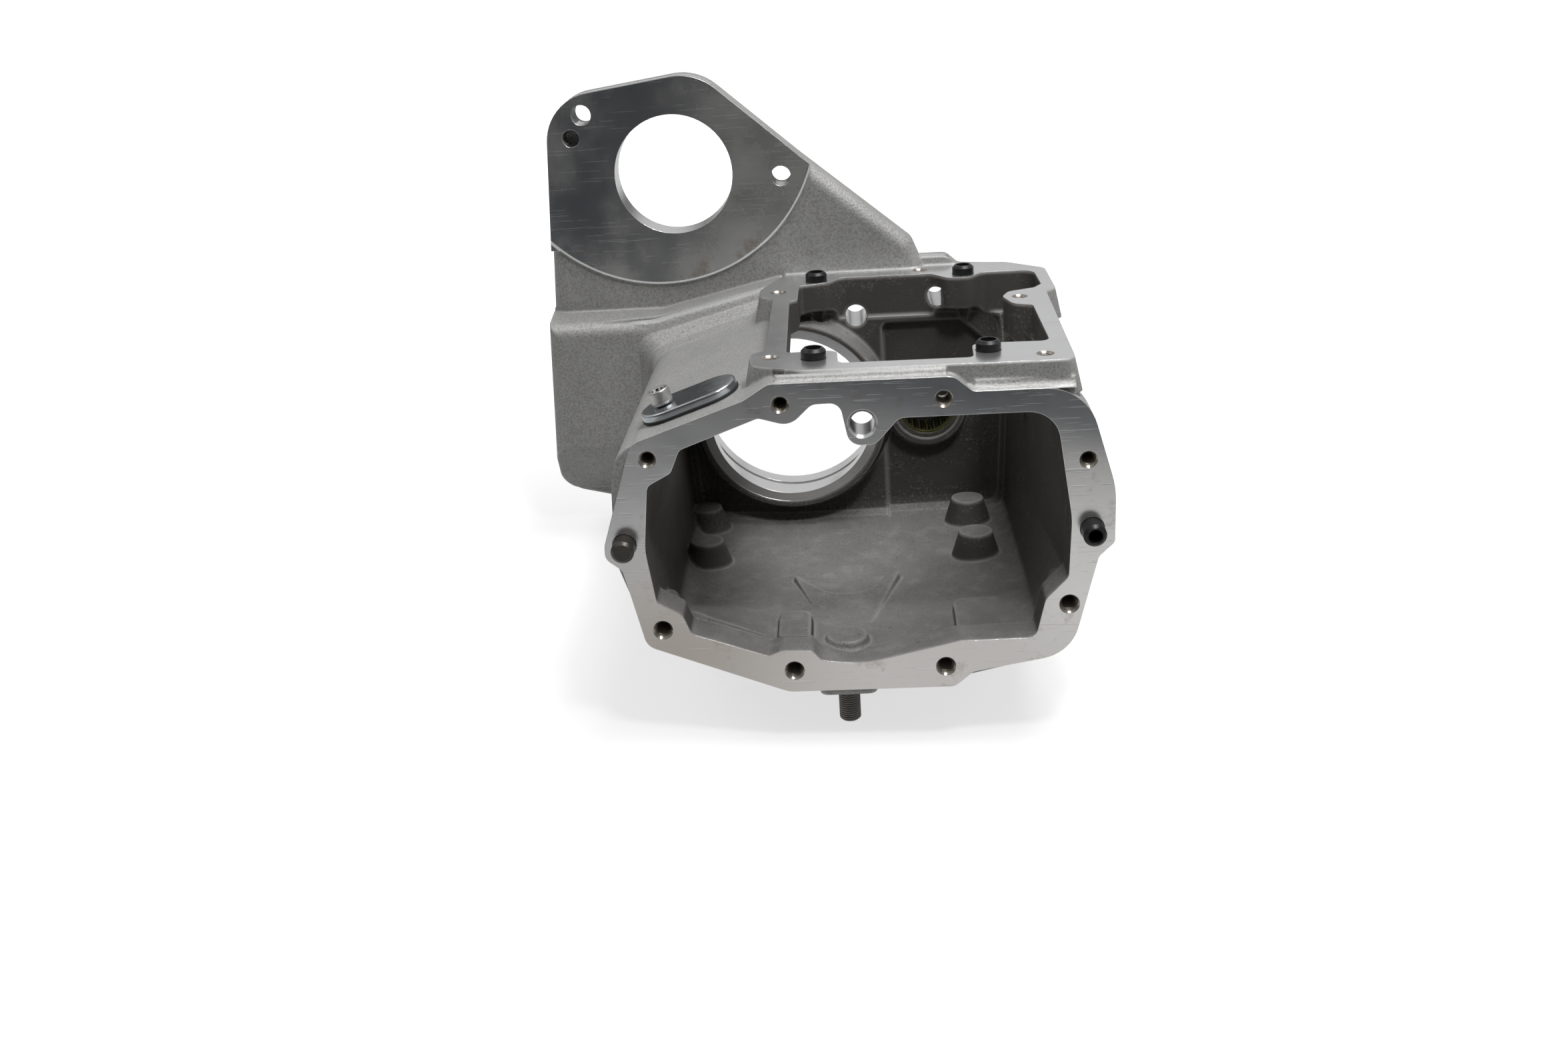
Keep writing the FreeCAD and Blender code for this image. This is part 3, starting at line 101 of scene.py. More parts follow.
class Net:
    """A tree of shader nodes."""

    def __init__(self, tree):
        self.tree = tree

    def new(self, kind, **settings):
        node = self.tree.nodes.new(kind)
        for name, setting in settings.items():
            setattr(node, name, setting)
        return node

    def feed(self, socket, value):
        """Links a value or an output to a socket, or sets the socket to a number, vector or colour."""
        if isinstance(value, Value):
            value = value.socket
        if isinstance(value, bpy.types.NodeSocket):
            self.tree.links.new(value, socket)
        elif isinstance(value, tuple):
            socket.default_value = (*value, 1.0)
        else:
            socket.default_value = value

    def math(self, operation, *inputs):
        node = self.new("ShaderNodeMath", operation=operation)
        for socket, value in zip(node.inputs, inputs):
            self.feed(socket, value)
        return Value(self, node.outputs[0])

    def vector_math(self, operation, *inputs):
        node = self.new("ShaderNodeVectorMath", operation=operation)
        for socket, value in zip(node.inputs, inputs):
            self.feed(socket, value)
        return node

    def parts(self, vector):
        """The three parts of a vector output."""
        split = self.new("ShaderNodeSeparateXYZ")
        self.feed(split.inputs[0], vector)
        return [Value(self, output) for output in split.outputs]

    def smooth(self, value, low, high):
        """0 at low and 1 at high, with a soft step between."""
        node = self.new("ShaderNodeMapRange", interpolation_type="SMOOTHSTEP")
        self.feed(node.inputs["Value"], value)
        self.feed(node.inputs["From Min"], low)
        self.feed(node.inputs["From Max"], high)
        return Value(self, node.outputs["Result"])

    def least(self, a, b):
        return self.math("MINIMUM", a, b)

    def most(self, a, b):
        return self.math("MAXIMUM", a, b)

    def span(self, value, low, high):
        """1 between low and high."""
        return (value > low) * (value < high)

    def distance(self, a, b):
        return self.math("SQRT", a * a + b * b)

    def either(self, *masks):
        result = masks[0]
        for mask in masks[1:]:
            result = self.most(result, mask)
        return result

    def both(self, *masks):
        result = masks[0]
        for mask in masks[1:]:
            result = result * mask
        return result

    def mix(self, factor, a, b):
        """Mixed colour: a at 0 and b at 1."""
        node = self.new("ShaderNodeMix", data_type="RGBA")
        self.feed(node.inputs[0], factor)
        self.feed(node.inputs[6], a)
        self.feed(node.inputs[7], b)
        return node.outputs[2]

    def blend(self, factor, a, b):
        """Mixed number: a at 0 and b at 1."""
        node = self.new("ShaderNodeMix", data_type="FLOAT")
        self.feed(node.inputs[0], factor)
        self.feed(node.inputs[2], a)
        self.feed(node.inputs[3], b)
        return Value(self, node.outputs[0])

    def ray(self, kind):
        """1 for rays of a kind: Camera, Transmission or Glossy."""
        return Value(self, self.new("ShaderNodeLightPath").outputs["Is %s Ray" % kind])


class Surface(Net):
    """A material, with the place of each point and the way it faces."""

    def __init__(self, name):
        self.material = bpy.data.materials.new(name)
        self.material.use_nodes = True
        super().__init__(self.material.node_tree)
        self.shader = self.tree.nodes["Principled BSDF"]
        self.output = self.tree.nodes["Material Output"]
        coordinates = self.new("ShaderNodeTexCoord")
        self.place = coordinates.outputs["Object"]
        self.x, self.y, self.z = [part * PER_METRE for part in self.parts(self.place)]
        self.facing = self.parts(coordinates.outputs["Normal"])

    def set(self, **inputs):
        """Sets the shader's sockets, named with underscores for spaces."""
        for name, value in inputs.items():
            self.feed(self.shader.inputs[name.replace("_", " ")], value)

    def noise(self, scale, detail, roughness, stretch=(1, 1, 1), offset=0.0, turn=(0, 0, 0)):
        """Noise with features about 1/scale of a millimetre across; turn is in degrees."""
        mapping = self.new("ShaderNodeMapping")
        mapping.inputs["Location"].default_value = (offset, 0.7 * offset, 0.3 * offset)
        mapping.inputs["Rotation"].default_value = [math.radians(part) for part in turn]
        mapping.inputs["Scale"].default_value = [PER_METRE * part for part in stretch]
        self.feed(mapping.inputs["Vector"], self.place)
        node = self.new("ShaderNodeTexNoise")
        self.feed(node.inputs["Scale"], scale)
        self.feed(node.inputs["Detail"], detail)
        self.feed(node.inputs["Roughness"], roughness)
        self.feed(node.inputs["Vector"], mapping.outputs[0])
        return Value(self, node.outputs["Fac"])

    def bump(self, height, strength, distance, normal):
        node = self.new("ShaderNodeBump")
        self.feed(node.inputs["Strength"], strength)
        self.feed(node.inputs["Distance"], distance * MM)
        self.feed(node.inputs["Height"], height)
        self.feed(node.inputs["Normal"], normal)
        return node.outputs[0]

    def rounded(self, radius):
        """Normal with the edges rounded to a radius."""
        node = self.new("ShaderNodeBevel", samples=6)
        self.feed(node.inputs["Radius"], radius * MM)
        return node.outputs[0]

    def edge_mask(self, rounded):
        """1 on the edges, where the rounded normal leaves the true one."""
        true = self.new("ShaderNodeNewGeometry").outputs["True Normal"]
        likeness = Value(self, self.vector_math("DOT_PRODUCT", rounded, true).outputs["Value"])
        return self.smooth(1.0 - likeness, 0.004, 0.07)

    def axial(self, foot, axis):
        """Height along an axis from its foot, and distance from it."""
        from_foot = self.vector_math("SUBTRACT", self.place, foot * MM).outputs[0]
        height = Value(self, self.vector_math("DOT_PRODUCT", from_foot, axis).outputs["Value"]) * PER_METRE
        length = Value(self, self.vector_math("LENGTH", from_foot).outputs["Value"]) * PER_METRE
        return height, self.math("SQRT", self.most(length * length - height * height, 0.0))


def dress(obj, material):
    obj.data.materials.clear()
    obj.data.materials.append(material)


# colours of the casting

SKIN_DULL, SKIN_PALE = (0.33, 0.33, 0.322), (0.47, 0.465, 0.455)
SKIN_GRAIN, SKIN_PATCH = (0.16, 0.158, 0.152), (0.46, 0.455, 0.45)
# the second colour here lightens edges and fillets of the skin: wear, and a painted highlight
SKIN_PIT, SKIN_WEAR_AND_PAINTED_HIGHLIGHT = (0.12, 0.118, 0.112), (0.62, 0.62, 0.62)
FLOOR_DULL, FLOOR_PALE = (0.165, 0.16, 0.153), (0.255, 0.25, 0.24)
# walls of the hollow, darker than its floor: painted shade
WALL_PAINTED_SHADE_DULL, WALL_PAINTED_SHADE_PALE = (0.058, 0.054, 0.049), (0.1, 0.094, 0.086)
INNER_GRAIN, INNER_PATCH = (0.06, 0.057, 0.052), (0.33, 0.324, 0.315)
# the last colour here lightens edges and fillets in the hollow: wear, and a painted highlight
INNER_GRIT, INNER_PIT, INNER_WEAR_AND_PAINTED_HIGHLIGHT = (0.3, 0.29, 0.275), (0.03, 0.028, 0.025), (0.48, 0.47, 0.46)
CUT_DULL, CUT_PALE = (0.64, 0.645, 0.655), (0.82, 0.82, 0.815)
CUT_SCRATCH, CUT_BORE, CUT_THREAD = (0.92, 0.92, 0.92), (0.8, 0.8, 0.8), (0.36, 0.33, 0.29)
CUT_BRIGHT = (0.95, 0.95, 0.95)
# door colours, in order: a warm tint, a brown tint, a painted bright reflection, then on the next line a
# painted dark reflection and a stain
DOOR_WARM, DOOR_BROWN, DOOR_PAINTED_REFLECTION_BRIGHT = (0.78, 0.73, 0.68), (0.47, 0.43, 0.385), (0.97, 0.96, 0.945)
DOOR_PAINTED_REFLECTION_DARK, DOOR_STAIN = (0.30, 0.32, 0.35), (0.33, 0.27, 0.2)
# starter colours: the two tones of a painted dark mottled reflection, the paler tone it fades to toward the
# right, and a stain
STARTER_DARK, STARTER_DULL = (0.25, 0.265, 0.29), (0.52, 0.52, 0.515)
STARTER_PALE, STARTER_STAIN = (0.86, 0.85, 0.82), (0.3, 0.2, 0.13)

# limits of the hollow, in the metal round it
HOLLOW_LEFT, HOLLOW_RIGHT = -59.0, 118.5
HOLLOW_FLOOR, HOLLOW_CEILING = -64.5, 53.5
HOLLOW_FRONT, HOLLOW_BACK = DOOR_FACE + 0.2, 16.0
RIGHT_WALL_LOW_BEND, RIGHT_WALL_HIGH_BEND = -35.0, 30.0
FLOOR_STEP = -118.0
OPENING_LEFT, OPENING_RIGHT, OPENING_RIGHT_BACK = -1.0, 116.0, 123.0
OPENING_FRONT, OPENING_BACK, OPENING_NOTCH = -146.0, 18.0, -30.0

# how far a face's mask reaches, twice that at the starter's, and how squarely a point faces its way
FACE_DEPTH = 0.1
FACING = 0.8
WALL_HOLE_FRONT = 10.7
EJECTOR_MARK = (88.6, -106.0)
STARTER_PAD_MIDDLE = (-59.0, 143.0)


class Casting(Surface):
    """Machined faces, the grey skin outside, and the walls of the hollow, darker than its floor with painted
    shade.
    """

    def __init__(self):
        super().__init__("cast_aluminium")
        self.find_surfaces()
        self.inside = self.hollow_mask()
        self.make_patterns()
        self.make_machining()
        starter_x, starter_z = STARTER_PAD_MIDDLE
        self.from_pad = self.distance(self.x - starter_x, self.z - starter_z)
        # a thin line along the starter's round edge, where a highlight is painted
        self.rim_highlight_line = self.both(self.span(self.from_pad, 77.2, 78.7), self.starter)
        cast_colour = self.mix(self.inside, self.skin_colour(), self.hollow_colour())
        cast_rough = self.blend(self.inside, 0.45, 0.47) + self.grain * 0.1 - self.edges * 0.08
        cut_rough = 0.13 + self.smears * 0.13 + self.marks * 0.05 + self.starter * self.smudge_and_painted_reflection * 0.1
        cast_metal = self.blend(self.inside, 0.42, 0.05)
        cut_metal = 0.92 - self.rim_highlight_line * 0.55
        self.set(
            Base_Color=self.mix(self.machined, cast_colour, self.machined_colour()),
            Metallic=self.blend(self.machined, cast_metal, cut_metal),
            Roughness=self.blend(self.machined, cast_rough, cut_rough),
            Specular_IOR_Level=0.25,
            Normal=self.bump(self.relief(), strength=0.6, distance=0.35, normal=self.soft_normal))

    def near(self, name, margin):
        """1 within a mount's radius, and a margin, of its axis."""
        x, y, z = mount_place(name)
        along_y = mounts[name]["axis"][1] != 0
        from_axis = self.distance(self.x - x, self.z - z if along_y else self.y - y)
        return from_axis < mount_radius(name) + margin

    def find_surfaces(self):
        """Masks of the machined faces, bores and holes."""
        y, z = self.y, self.z
        facing_y, facing_z = self.facing[1:]
        self.door = self.both(y < DOOR_FACE + FACE_DEPTH, facing_y < -FACING)
        self.top = self.both(z > TOP_FACE - FACE_DEPTH, facing_z > FACING, y < OUTER_FACE - 4.0)
        outer = self.both(y > OUTER_FACE - FACE_DEPTH, facing_y > FACING)
        starter_front, starter_back = STARTER_FACE - 2 * FACE_DEPTH, STARTER_FACE + 2 * FACE_DEPTH
        self.starter = self.both(self.span(y, starter_front, starter_back), facing_y < -FACING, z > 44.0)
        seat = self.near("mainshaft_bearing_seat", 2.2)
        seat = self.both(seat, self.span(y, -0.2, OUTER_FACE + FACE_DEPTH))
        starter_bore = self.both(self.near("starter_bore", 0.4), y > starter_back)
        shift_bore = self.both(self.near("shift_shaft_bore", 1.4), y < DOOR_FACE + 25.0)
        wall_holes = self.either(self.near("wall_hole_a", 0.2), self.near("wall_hole_b", 0.2))
        wall_holes = self.both(wall_holes, y > WALL_HOLE_FRONT)
        door_threads = self.either(*[self.near(name, 1.0) for name in DOOR_THREADS])
        top_threads = self.either(*[self.near(name, 1.0) for name in TOP_THREADS])
        self.threads = self.either(self.both(door_threads, y < DOOR_FACE + 22.5),
                                   self.both(top_threads, z > TOP_FACE - 17.0))
        dowel_holes = self.either(*[self.near(name, 0.15) for name in TOP_DOWELS])
        dowel_holes = self.both(dowel_holes, z > TOP_FACE - 6.5)
        self.bores = self.either(seat, starter_bore)
        self.machined = self.either(self.door, self.top, outer, self.starter, self.bores,
                                    shift_bore, wall_holes, self.threads, dowel_holes)

    def hollow_mask(self):
        """1 on the walls of the hollow and of the opening above it."""
        x, y, z = self.x, self.y, self.z
        above = self.most(z - RIGHT_WALL_HIGH_BEND, 0.0)
        below = self.most(RIGHT_WALL_LOW_BEND - z, 0.0)
        right = HOLLOW_RIGHT - above * 0.35 - below * 0.5
        floor_slope = self.blend(y > FLOOR_STEP, 0.30, 0.118)
        left_floor = self.most(x * -1.0, 0.0) * floor_slope + HOLLOW_FLOOR
        right_floor = self.least((x - 60.0) * 0.3 + HOLLOW_FLOOR, HOLLOW_FLOOR + 2.7)
        floor = self.most(left_floor, right_floor)
        ceiling = self.least((x + 61.0) * 0.394 + 31.5, HOLLOW_CEILING)
        case = self.both(x > HOLLOW_LEFT, x < right, z > floor, z < ceiling,
                         self.span(y, HOLLOW_FRONT, HOLLOW_BACK))
        opening_right = self.blend(y > OPENING_NOTCH, OPENING_RIGHT, OPENING_RIGHT_BACK)
        opening = self.both(x > OPENING_LEFT, x < opening_right, self.span(y, OPENING_FRONT, OPENING_BACK),
                            self.span(z, TOP_FACE - 21.0, TOP_FACE - 0.15))
        return self.either(case, opening)

    def make_patterns(self):
        """Cast grain in a fine and a coarse size, clouds, patches, pits, rough corners, and the edges,
        lighter with wear and with a painted highlight.
        """
        self.grain = self.noise(scale=1.1, detail=4.0, roughness=0.62)
        self.fine = self.noise(scale=3.0, detail=2.0, roughness=0.6)
        self.cloud = self.noise(scale=0.03, detail=4.0, roughness=0.6)
        self.patch = self.smooth(self.noise(0.11, 5.0, 0.65, offset=3.0), 0.45, 0.72)
        self.pits = self.smooth(self.noise(0.42, 3.0, 0.5, offset=7.0), 0.67, 0.75)
        grit = self.smooth(self.noise(0.8, 3.0, 0.7, offset=17.0), 0.5, 0.7)
        corner = self.smooth(self.y, -60.0, 0.0) * self.smooth(self.z, -20.0, -55.0)
        rough_patch = self.smooth(self.noise(0.05, 4.0, 0.6, offset=21.0) + corner * 0.16, 0.48, 0.6)
        self.rough_grit = rough_patch * self.inside * grit
        edge_radius = self.blend(self.machined, self.blend(self.inside, 2.1, 3.0), 0.3)
        self.soft_normal = self.rounded(edge_radius)
        self.edges = self.edge_mask(self.soft_normal)

    def make_machining(self):
        """Cutter marks, smears, stains, and scratches in three directions."""
        self.marks = self.noise(0.9, 2.0, 0.5, stretch=(0.25, 1.0, 9.0))
        self.smears = self.noise(0.045, 5.0, 0.65, offset=11.0)
        self.stains = self.smooth(self.noise(0.06, 5.0, 0.7, offset=5.0), 0.56, 0.78)
        self.scratches = self.either(*[
            self.scratch(stretch=(0.08, 1.0, 3.5), offset=offset, turn=(0, angle, 0))
            for offset, angle in ((2.0, 28.0), (6.0, 75.0), (13.0, -40.0))])
        self.scores = self.scratch(stretch=(0.1, 3.0, 1.0), offset=31.0, turn=(0, 0, 40.0))
        # a mottle that roughens smudges on the starter's face and, in its colour, paints a dark mottled
        # reflection there
        wisps = self.noise(0.11, 6.0, 0.72, stretch=(1.0, 1.0, 0.45), offset=9.0, turn=(0, 50.0, 0))
        blots = self.noise(0.028, 3.0, 0.5, offset=9.0)
        self.smudge_and_painted_reflection = self.smooth(blots + (wisps - 0.5) * 0.32, 0.28, 0.72)

    def scratch(self, stretch, offset, turn):
        return self.smooth(self.noise(0.5, 1.0, 0.4, stretch, offset, turn), 0.715, 0.75)

    def skin_colour(self):
        colour = self.mix(self.cloud, SKIN_DULL, SKIN_PALE)
        colour = self.mix(self.smooth(self.grain, 0.35, 0.72) * 0.6, colour, SKIN_GRAIN)
        colour = self.mix(self.patch * 0.25, colour, SKIN_PATCH)
        colour = self.mix(self.pits * 0.45, colour, SKIN_PIT)
        # edges and fillets lighter: wear, and a painted highlight
        return self.mix(self.edges * 0.5, colour, SKIN_WEAR_AND_PAINTED_HIGHLIGHT)

    def hollow_colour(self):
        """Grey where it lies flat and darker where it stands, which is painted shade."""
        lying = self.smooth(self.facing[2], 0.25, 0.7)
        floor = self.mix(self.cloud, FLOOR_DULL, FLOOR_PALE)
        # painted shade: the standing walls of the hollow darker than its floor
        wall = self.mix(self.cloud, WALL_PAINTED_SHADE_DULL, WALL_PAINTED_SHADE_PALE)
        colour = self.mix(lying, wall, floor)
        colour = self.mix(self.smooth(self.grain, 0.35, 0.8) * 0.5, colour, INNER_GRAIN)
        colour = self.mix(self.patch * lying * 0.4, colour, INNER_PATCH)
        colour = self.mix(self.rough_grit * 0.5, colour, INNER_GRIT)
        colour = self.mix(self.pits * 0.6, colour, INNER_PIT)
        # edges and fillets lighter: wear, and a painted highlight
        return self.mix(self.edges * 0.5, colour, INNER_WEAR_AND_PAINTED_HIGHLIGHT)

    def door_colour(self, colour):
        """The door face: brownish low on the left, a painted bright reflection on the right, and a painted
        dark reflection at the top right.
        """
        low_part = self.smooth(self.z, 10.0, -55.0) * self.door
        colour = self.mix(low_part * 0.5, colour, DOOR_WARM)
        colour = self.mix(low_part * self.smooth(self.x, 40.0, -50.0) * 0.85, colour, DOOR_BROWN)
        # painted reflection: the door face lighter toward its lower right
        painted_bright_reflection = self.smooth(self.x, 80.0, 122.0) * self.smooth(self.z, -80.0, -5.0) * self.door
        colour = self.mix(painted_bright_reflection, colour, DOOR_PAINTED_REFLECTION_BRIGHT)
        # painted reflection: the door face darker and bluish toward its top right
        painted_dark_reflection = self.smooth(self.z + self.x * 0.25 + self.smears * 12.0, 58.0, 82.0) * self.door
        colour = self.mix(painted_dark_reflection * 0.75, colour, DOOR_PAINTED_REFLECTION_DARK)
        return self.mix(self.stains * 0.6 * self.door, colour, DOOR_STAIN)

    def starter_colour(self):
        """The starter's face: a painted dark mottled reflection, paling toward the right, with brown stains
        near its round edge.
        """
        # painted reflection: dark mottle at the left, paling toward the right
        colour = self.mix(self.smudge_and_painted_reflection, STARTER_DARK, STARTER_DULL)
        toward_right = self.smooth(self.x - self.z * 0.5, -180.0, -30.0)
        colour = self.mix(toward_right * 0.65, colour, STARTER_PALE)
        near_edge = self.smooth(self.from_pad, 62.0, 76.0)
        colour = self.mix(self.stains * near_edge * 0.75, colour, STARTER_STAIN)
        return self.mix(self.scratches * 0.2, colour, CUT_BRIGHT)

    def machined_colour(self):
        colour = self.door_colour(self.mix(self.smears, CUT_DULL, CUT_PALE))
        lines = self.either(self.scratches * self.door, self.scores * self.top)
        colour = self.mix(lines * 0.4, colour, CUT_SCRATCH)
        colour = self.mix(self.starter, colour, self.starter_colour())
        # painted highlight: a bright thin line along the starter's round edge
        colour = self.mix(self.rim_highlight_line * 0.9, colour, CUT_BRIGHT)
        colour = self.mix(self.bores, colour, CUT_BORE)
        colour = self.mix(self.threads, colour, CUT_THREAD)
        # edges lighter: wear, and a painted highlight
        return self.mix(self.edges * 0.7, colour, CUT_BRIGHT)

    def relief(self):
        """Height of the grain and pits, and of the ring that an ejector pin left on the floor."""
        ring = self.distance(self.x - EJECTOR_MARK[0], self.y - EJECTOR_MARK[1])
        ring_groove = self.both(self.span(ring, 4.6, 5.4), self.z < -50.0, self.inside)
        cast = self.grain * 0.95 + self.fine * 0.35 - self.pits * 0.5
        cast = cast + self.rough_grit * 2.2 - ring_groove * 1.2
        cut = self.marks * 0.022 - self.either(self.scratches, self.scores) * 0.06
        return self.blend(self.machined, cast, cut)


def plain_metal(name, light, dark, metallic, rough, grain, edge, bump=0.2, wear=0.3, recess_shade=None):
    """Metal with clouds, specks and lighter edges; the last argument gives a recess painted near black as
    shade: foot, axis, radius, height.
    """
    net = Surface(name)
    cloud = net.noise(scale=0.25, detail=4.0, roughness=0.6)
    speck = net.noise(scale=grain, detail=3.0, roughness=0.6)
    rounded = net.rounded(edge)
    bright = tuple(min(1.0, 2.2 * part + 0.05) for part in light)
    colour = net.mix(net.edge_mask(rounded) * wear, net.mix(cloud, dark, light), bright)
    rough = rough + cloud * 0.12 + speck * 0.08
    # painted shade: the recess, here the screw's hexagon socket, turned near black, and rougher
    if recess_shade:
        foot, axis, radius, height = recess_shade
        above, out = net.axial(foot, axis)
        shaded_recess = net.both(above > height, out < radius)
        colour = net.mix(shaded_recess, colour, (0.02, 0.019, 0.018))
        rough = net.blend(shaded_recess, rough, 0.7)
    relief = net.bump(speck, strength=bump, distance=0.1, normal=rounded)
    net.set(Base_Color=colour, Metallic=metallic, Roughness=rough, Normal=relief)
    return net.material


# the cover screw's axis, square to the shoulder, and the middle of its seat
SCREW_UP = Vector((-0.32501, 0.0, 0.94571))
SCREW_SEAT = Vector((-46.125, -129.6, 44.755))
HEAD_FOOT, HEAD_TOP, HEAD_RADIUS = 4.8, 11.2, 4.7
SOCKET_RADIUS, SOCKET_DEPTH = 2.4, 3.1

materials = {
    "cast_aluminium": Casting().material,
    "black_steel": plain_metal("black_oxide", light=(0.035, 0.035, 0.037), dark=(0.014, 0.014, 0.015),
                               metallic=0.6, rough=0.26, grain=1.6, edge=0.25),
    "dark_steel": plain_metal("oiled_steel", light=(0.11, 0.10, 0.09), dark=(0.045, 0.042, 0.038),
                              metallic=0.8, rough=0.3, grain=1.2, edge=0.3),
    "stud_steel": plain_metal("stud_steel", light=(0.26, 0.25, 0.235), dark=(0.13, 0.125, 0.115),
                              metallic=0.85, rough=0.34, grain=1.4, edge=0.1),
    "bearing_steel": plain_metal("bearing_steel", light=(0.3, 0.29, 0.26), dark=(0.1, 0.095, 0.085),
                                 metallic=0.9, rough=0.3, grain=1.0, edge=0.2),
    "roller_steel": plain_metal("roller_steel", light=(0.2, 0.2, 0.17), dark=(0.07, 0.07, 0.05),
                                metallic=1.0, rough=0.22, grain=1.0, edge=0.1),
    "cage_steel": plain_metal("greased_cage", light=(0.16, 0.16, 0.035), dark=(0.035, 0.035, 0.02),
                              metallic=0.6, rough=0.3, grain=0.8, edge=0.2),
    "gasket": plain_metal("gasket_rubber", light=(0.016, 0.016, 0.016), dark=(0.008, 0.008, 0.008),
                          metallic=0.0, rough=0.55, grain=2.0, edge=0.15),
    "plated_cover": plain_metal("bright_zinc", light=(0.55, 0.575, 0.59), dark=(0.38, 0.4, 0.42),
                                metallic=1.0, rough=0.1, grain=0.6, edge=0.6, bump=0.04, wear=0.6),
    # the screw's hexagon socket is painted near black as shade
    "screw_steel": plain_metal("screw_zinc", light=(0.6, 0.59, 0.56), dark=(0.36, 0.35, 0.33),
                               metallic=0.95, rough=0.24, grain=1.0, edge=0.15,
                               recess_shade=(SCREW_SEAT, SCREW_UP, 2.5, HEAD_TOP - 4.2)),
}
slots = {entry["node"]: entry["material_slot"] for entry in frame["record"]["subparts"]}
for name, obj in nodes.items():
    dress(obj, materials[slots[name]])


# turned and wound pieces: loops of points joined by faces

def outward(along, angle):
    """Unit vector square to an axis, turned by an angle about it."""
    side = along.orthogonal().normalized()
    return side * math.cos(angle) + along.cross(side) * math.sin(angle)


def join_loops(shape, loops):
    """Faces between the loops, and over the first and the last."""
    for lower, upper in zip(loops, loops[1:]):
        for index in range(len(lower)):
            following = (index + 1) % len(lower)
            shape.faces.new((lower[index], lower[following], upper[following], upper[index]))
    shape.faces.new(list(reversed(loops[0])))
    shape.faces.new(loops[-1])


def mesh_object(name, shape):
    mesh = bpy.data.meshes.new(name)
    shape.to_mesh(mesh)
    shape.free()
    obj = bpy.data.objects.new(name, mesh)
    bpy.context.scene.collection.objects.link(obj)
    return obj


def turned(name, foot, axis, rings, count):
    """Closed solid from rings: each is (height, radius as a function of the angle)."""
    axis = axis.normalized()
    angles = [2 * math.pi * index / count for index in range(count)]
    shape = bmesh.new()
    loops = []
    for height, radius in rings:
        loops.append([
            shape.verts.new((foot + axis * height + outward(axis, angle) * radius(angle)) * MM)
            for angle in angles])
    join_loops(shape, loops)
    obj = mesh_object(name, shape)
    for polygon in obj.data.polygons:
        polygon.use_smooth = True
    return obj


def round_ring(height, radius):
    return height, lambda angle: radius


# width of a thread's crest and steepness of its flanks, in parts of its depth and pitch
THREAD_CREST, THREAD_FLANK = 1.25, 2.75
RINGS_PER_TURN = 8


def thread_rings(start, end, major, depth, pitch, chamfer):
    """Rings of a threaded shank: the ridge goes round once each pitch."""
    rings = []
    steps = int((end - start) / pitch * RINGS_PER_TURN)
    for step in range(steps + 1):
        height = start + (end - start) * step / steps
        limit = major - max(0.0, chamfer - (end - height))

        def radius(angle, height=height, limit=limit):
            phase = (height / pitch - angle / (2 * math.pi)) % 1.0
            ridge = max(0.0, min(1.0, THREAD_CREST - THREAD_FLANK * abs(phase - 0.5)))
            return min(major - depth * (1 - ridge), limit)
        rings.append((height, radius))
    return rings


STUD_ROOT, STUD_LENGTH = 14.0, 33.0


def threaded_stud():
    """The stud, from its root in the casting down to its chamfered end."""
    x, y, _ = mount_place("mounting_stud")
    foot = Vector((x, y, STUD_PAD + STUD_ROOT))
    rings = [round_ring(0.0, 4.5), round_ring(STUD_ROOT - 0.05, 4.5), round_ring(STUD_ROOT, 4.3)]
    rings += thread_rings(STUD_ROOT + 0.1, STUD_LENGTH, major=4.75, depth=0.6, pitch=1.06, chamfer=1.0)
    return turned("mounting_stud_thread", foot, Vector((0, 0, -1)), rings, 48)


stud = threaded_stud()
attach(stud, "housing")
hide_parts("mounting_stud")
dress(stud, materials["stud_steel"])


def knurl(height):
    """Ring of the knurled head: slanted grooves that cross."""
    def radius(angle):
        turn = angle * 30
        climb = height * 5.4
        first = abs(math.sin((turn + climb) / 2))
        second = abs(math.sin((turn - climb) / 2))
        return HEAD_RADIUS - 0.16 * (1 - min(first, second)) ** 2
    return height, radius


def hexagon(height, half_width):
    def radius(angle):
        return half_width / math.cos((angle + math.pi / 6) % (math.pi / 3) - math.pi / 6)
    return height, radius


def knurled_screw():
    """The cover screw: threaded shank, knurled head with a rounded rim, and a hexagon socket."""
    rings = [round_ring(-11.2, 2.7), round_ring(-10.6, 3.05)]
    rings += thread_rings(-10.5, 3.0, major=3.08, depth=0.35, pitch=1.0, chamfer=0.0)
    rings += [round_ring(3.1, 2.9), round_ring(HEAD_FOOT - 0.01, 2.9), round_ring(HEAD_FOOT, 3.9),
              round_ring(HEAD_FOOT + 0.15, 4.3), round_ring(HEAD_FOOT + 0.9, 4.35)]
    knurled, knurl_rings = 4.5, 20
    rings += [knurl(HEAD_FOOT + 1.0 + knurled * step / knurl_rings) for step in range(knurl_rings + 1)]
    rim, rim_radius = 0.75, 4.68
    for degrees in (0, 25, 50, 70, 90):
        bend = math.radians(degrees)
        height = HEAD_TOP - rim + rim * math.sin(bend)
        rings.append(round_ring(height, rim_radius - rim * (1 - math.cos(bend))))
    socket_floor = HEAD_TOP - SOCKET_DEPTH
    rings += [round_ring(HEAD_TOP, 3.3), hexagon(HEAD_TOP - 0.1, 2.62), hexagon(HEAD_TOP - 0.35, 2.42),
              hexagon(socket_floor, SOCKET_RADIUS), round_ring(socket_floor - 0.1, 1.9),
              round_ring(socket_floor - 0.8, 0.15)]
    return turned("cover_screw_knurled", SCREW_SEAT, SCREW_UP, rings, 180)


screw = knurled_screw()
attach(screw, "housing")
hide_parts("cover_screw")
dress(screw, materials["screw_steel"])


# threads of the tapped holes: a ridge wound along each wall

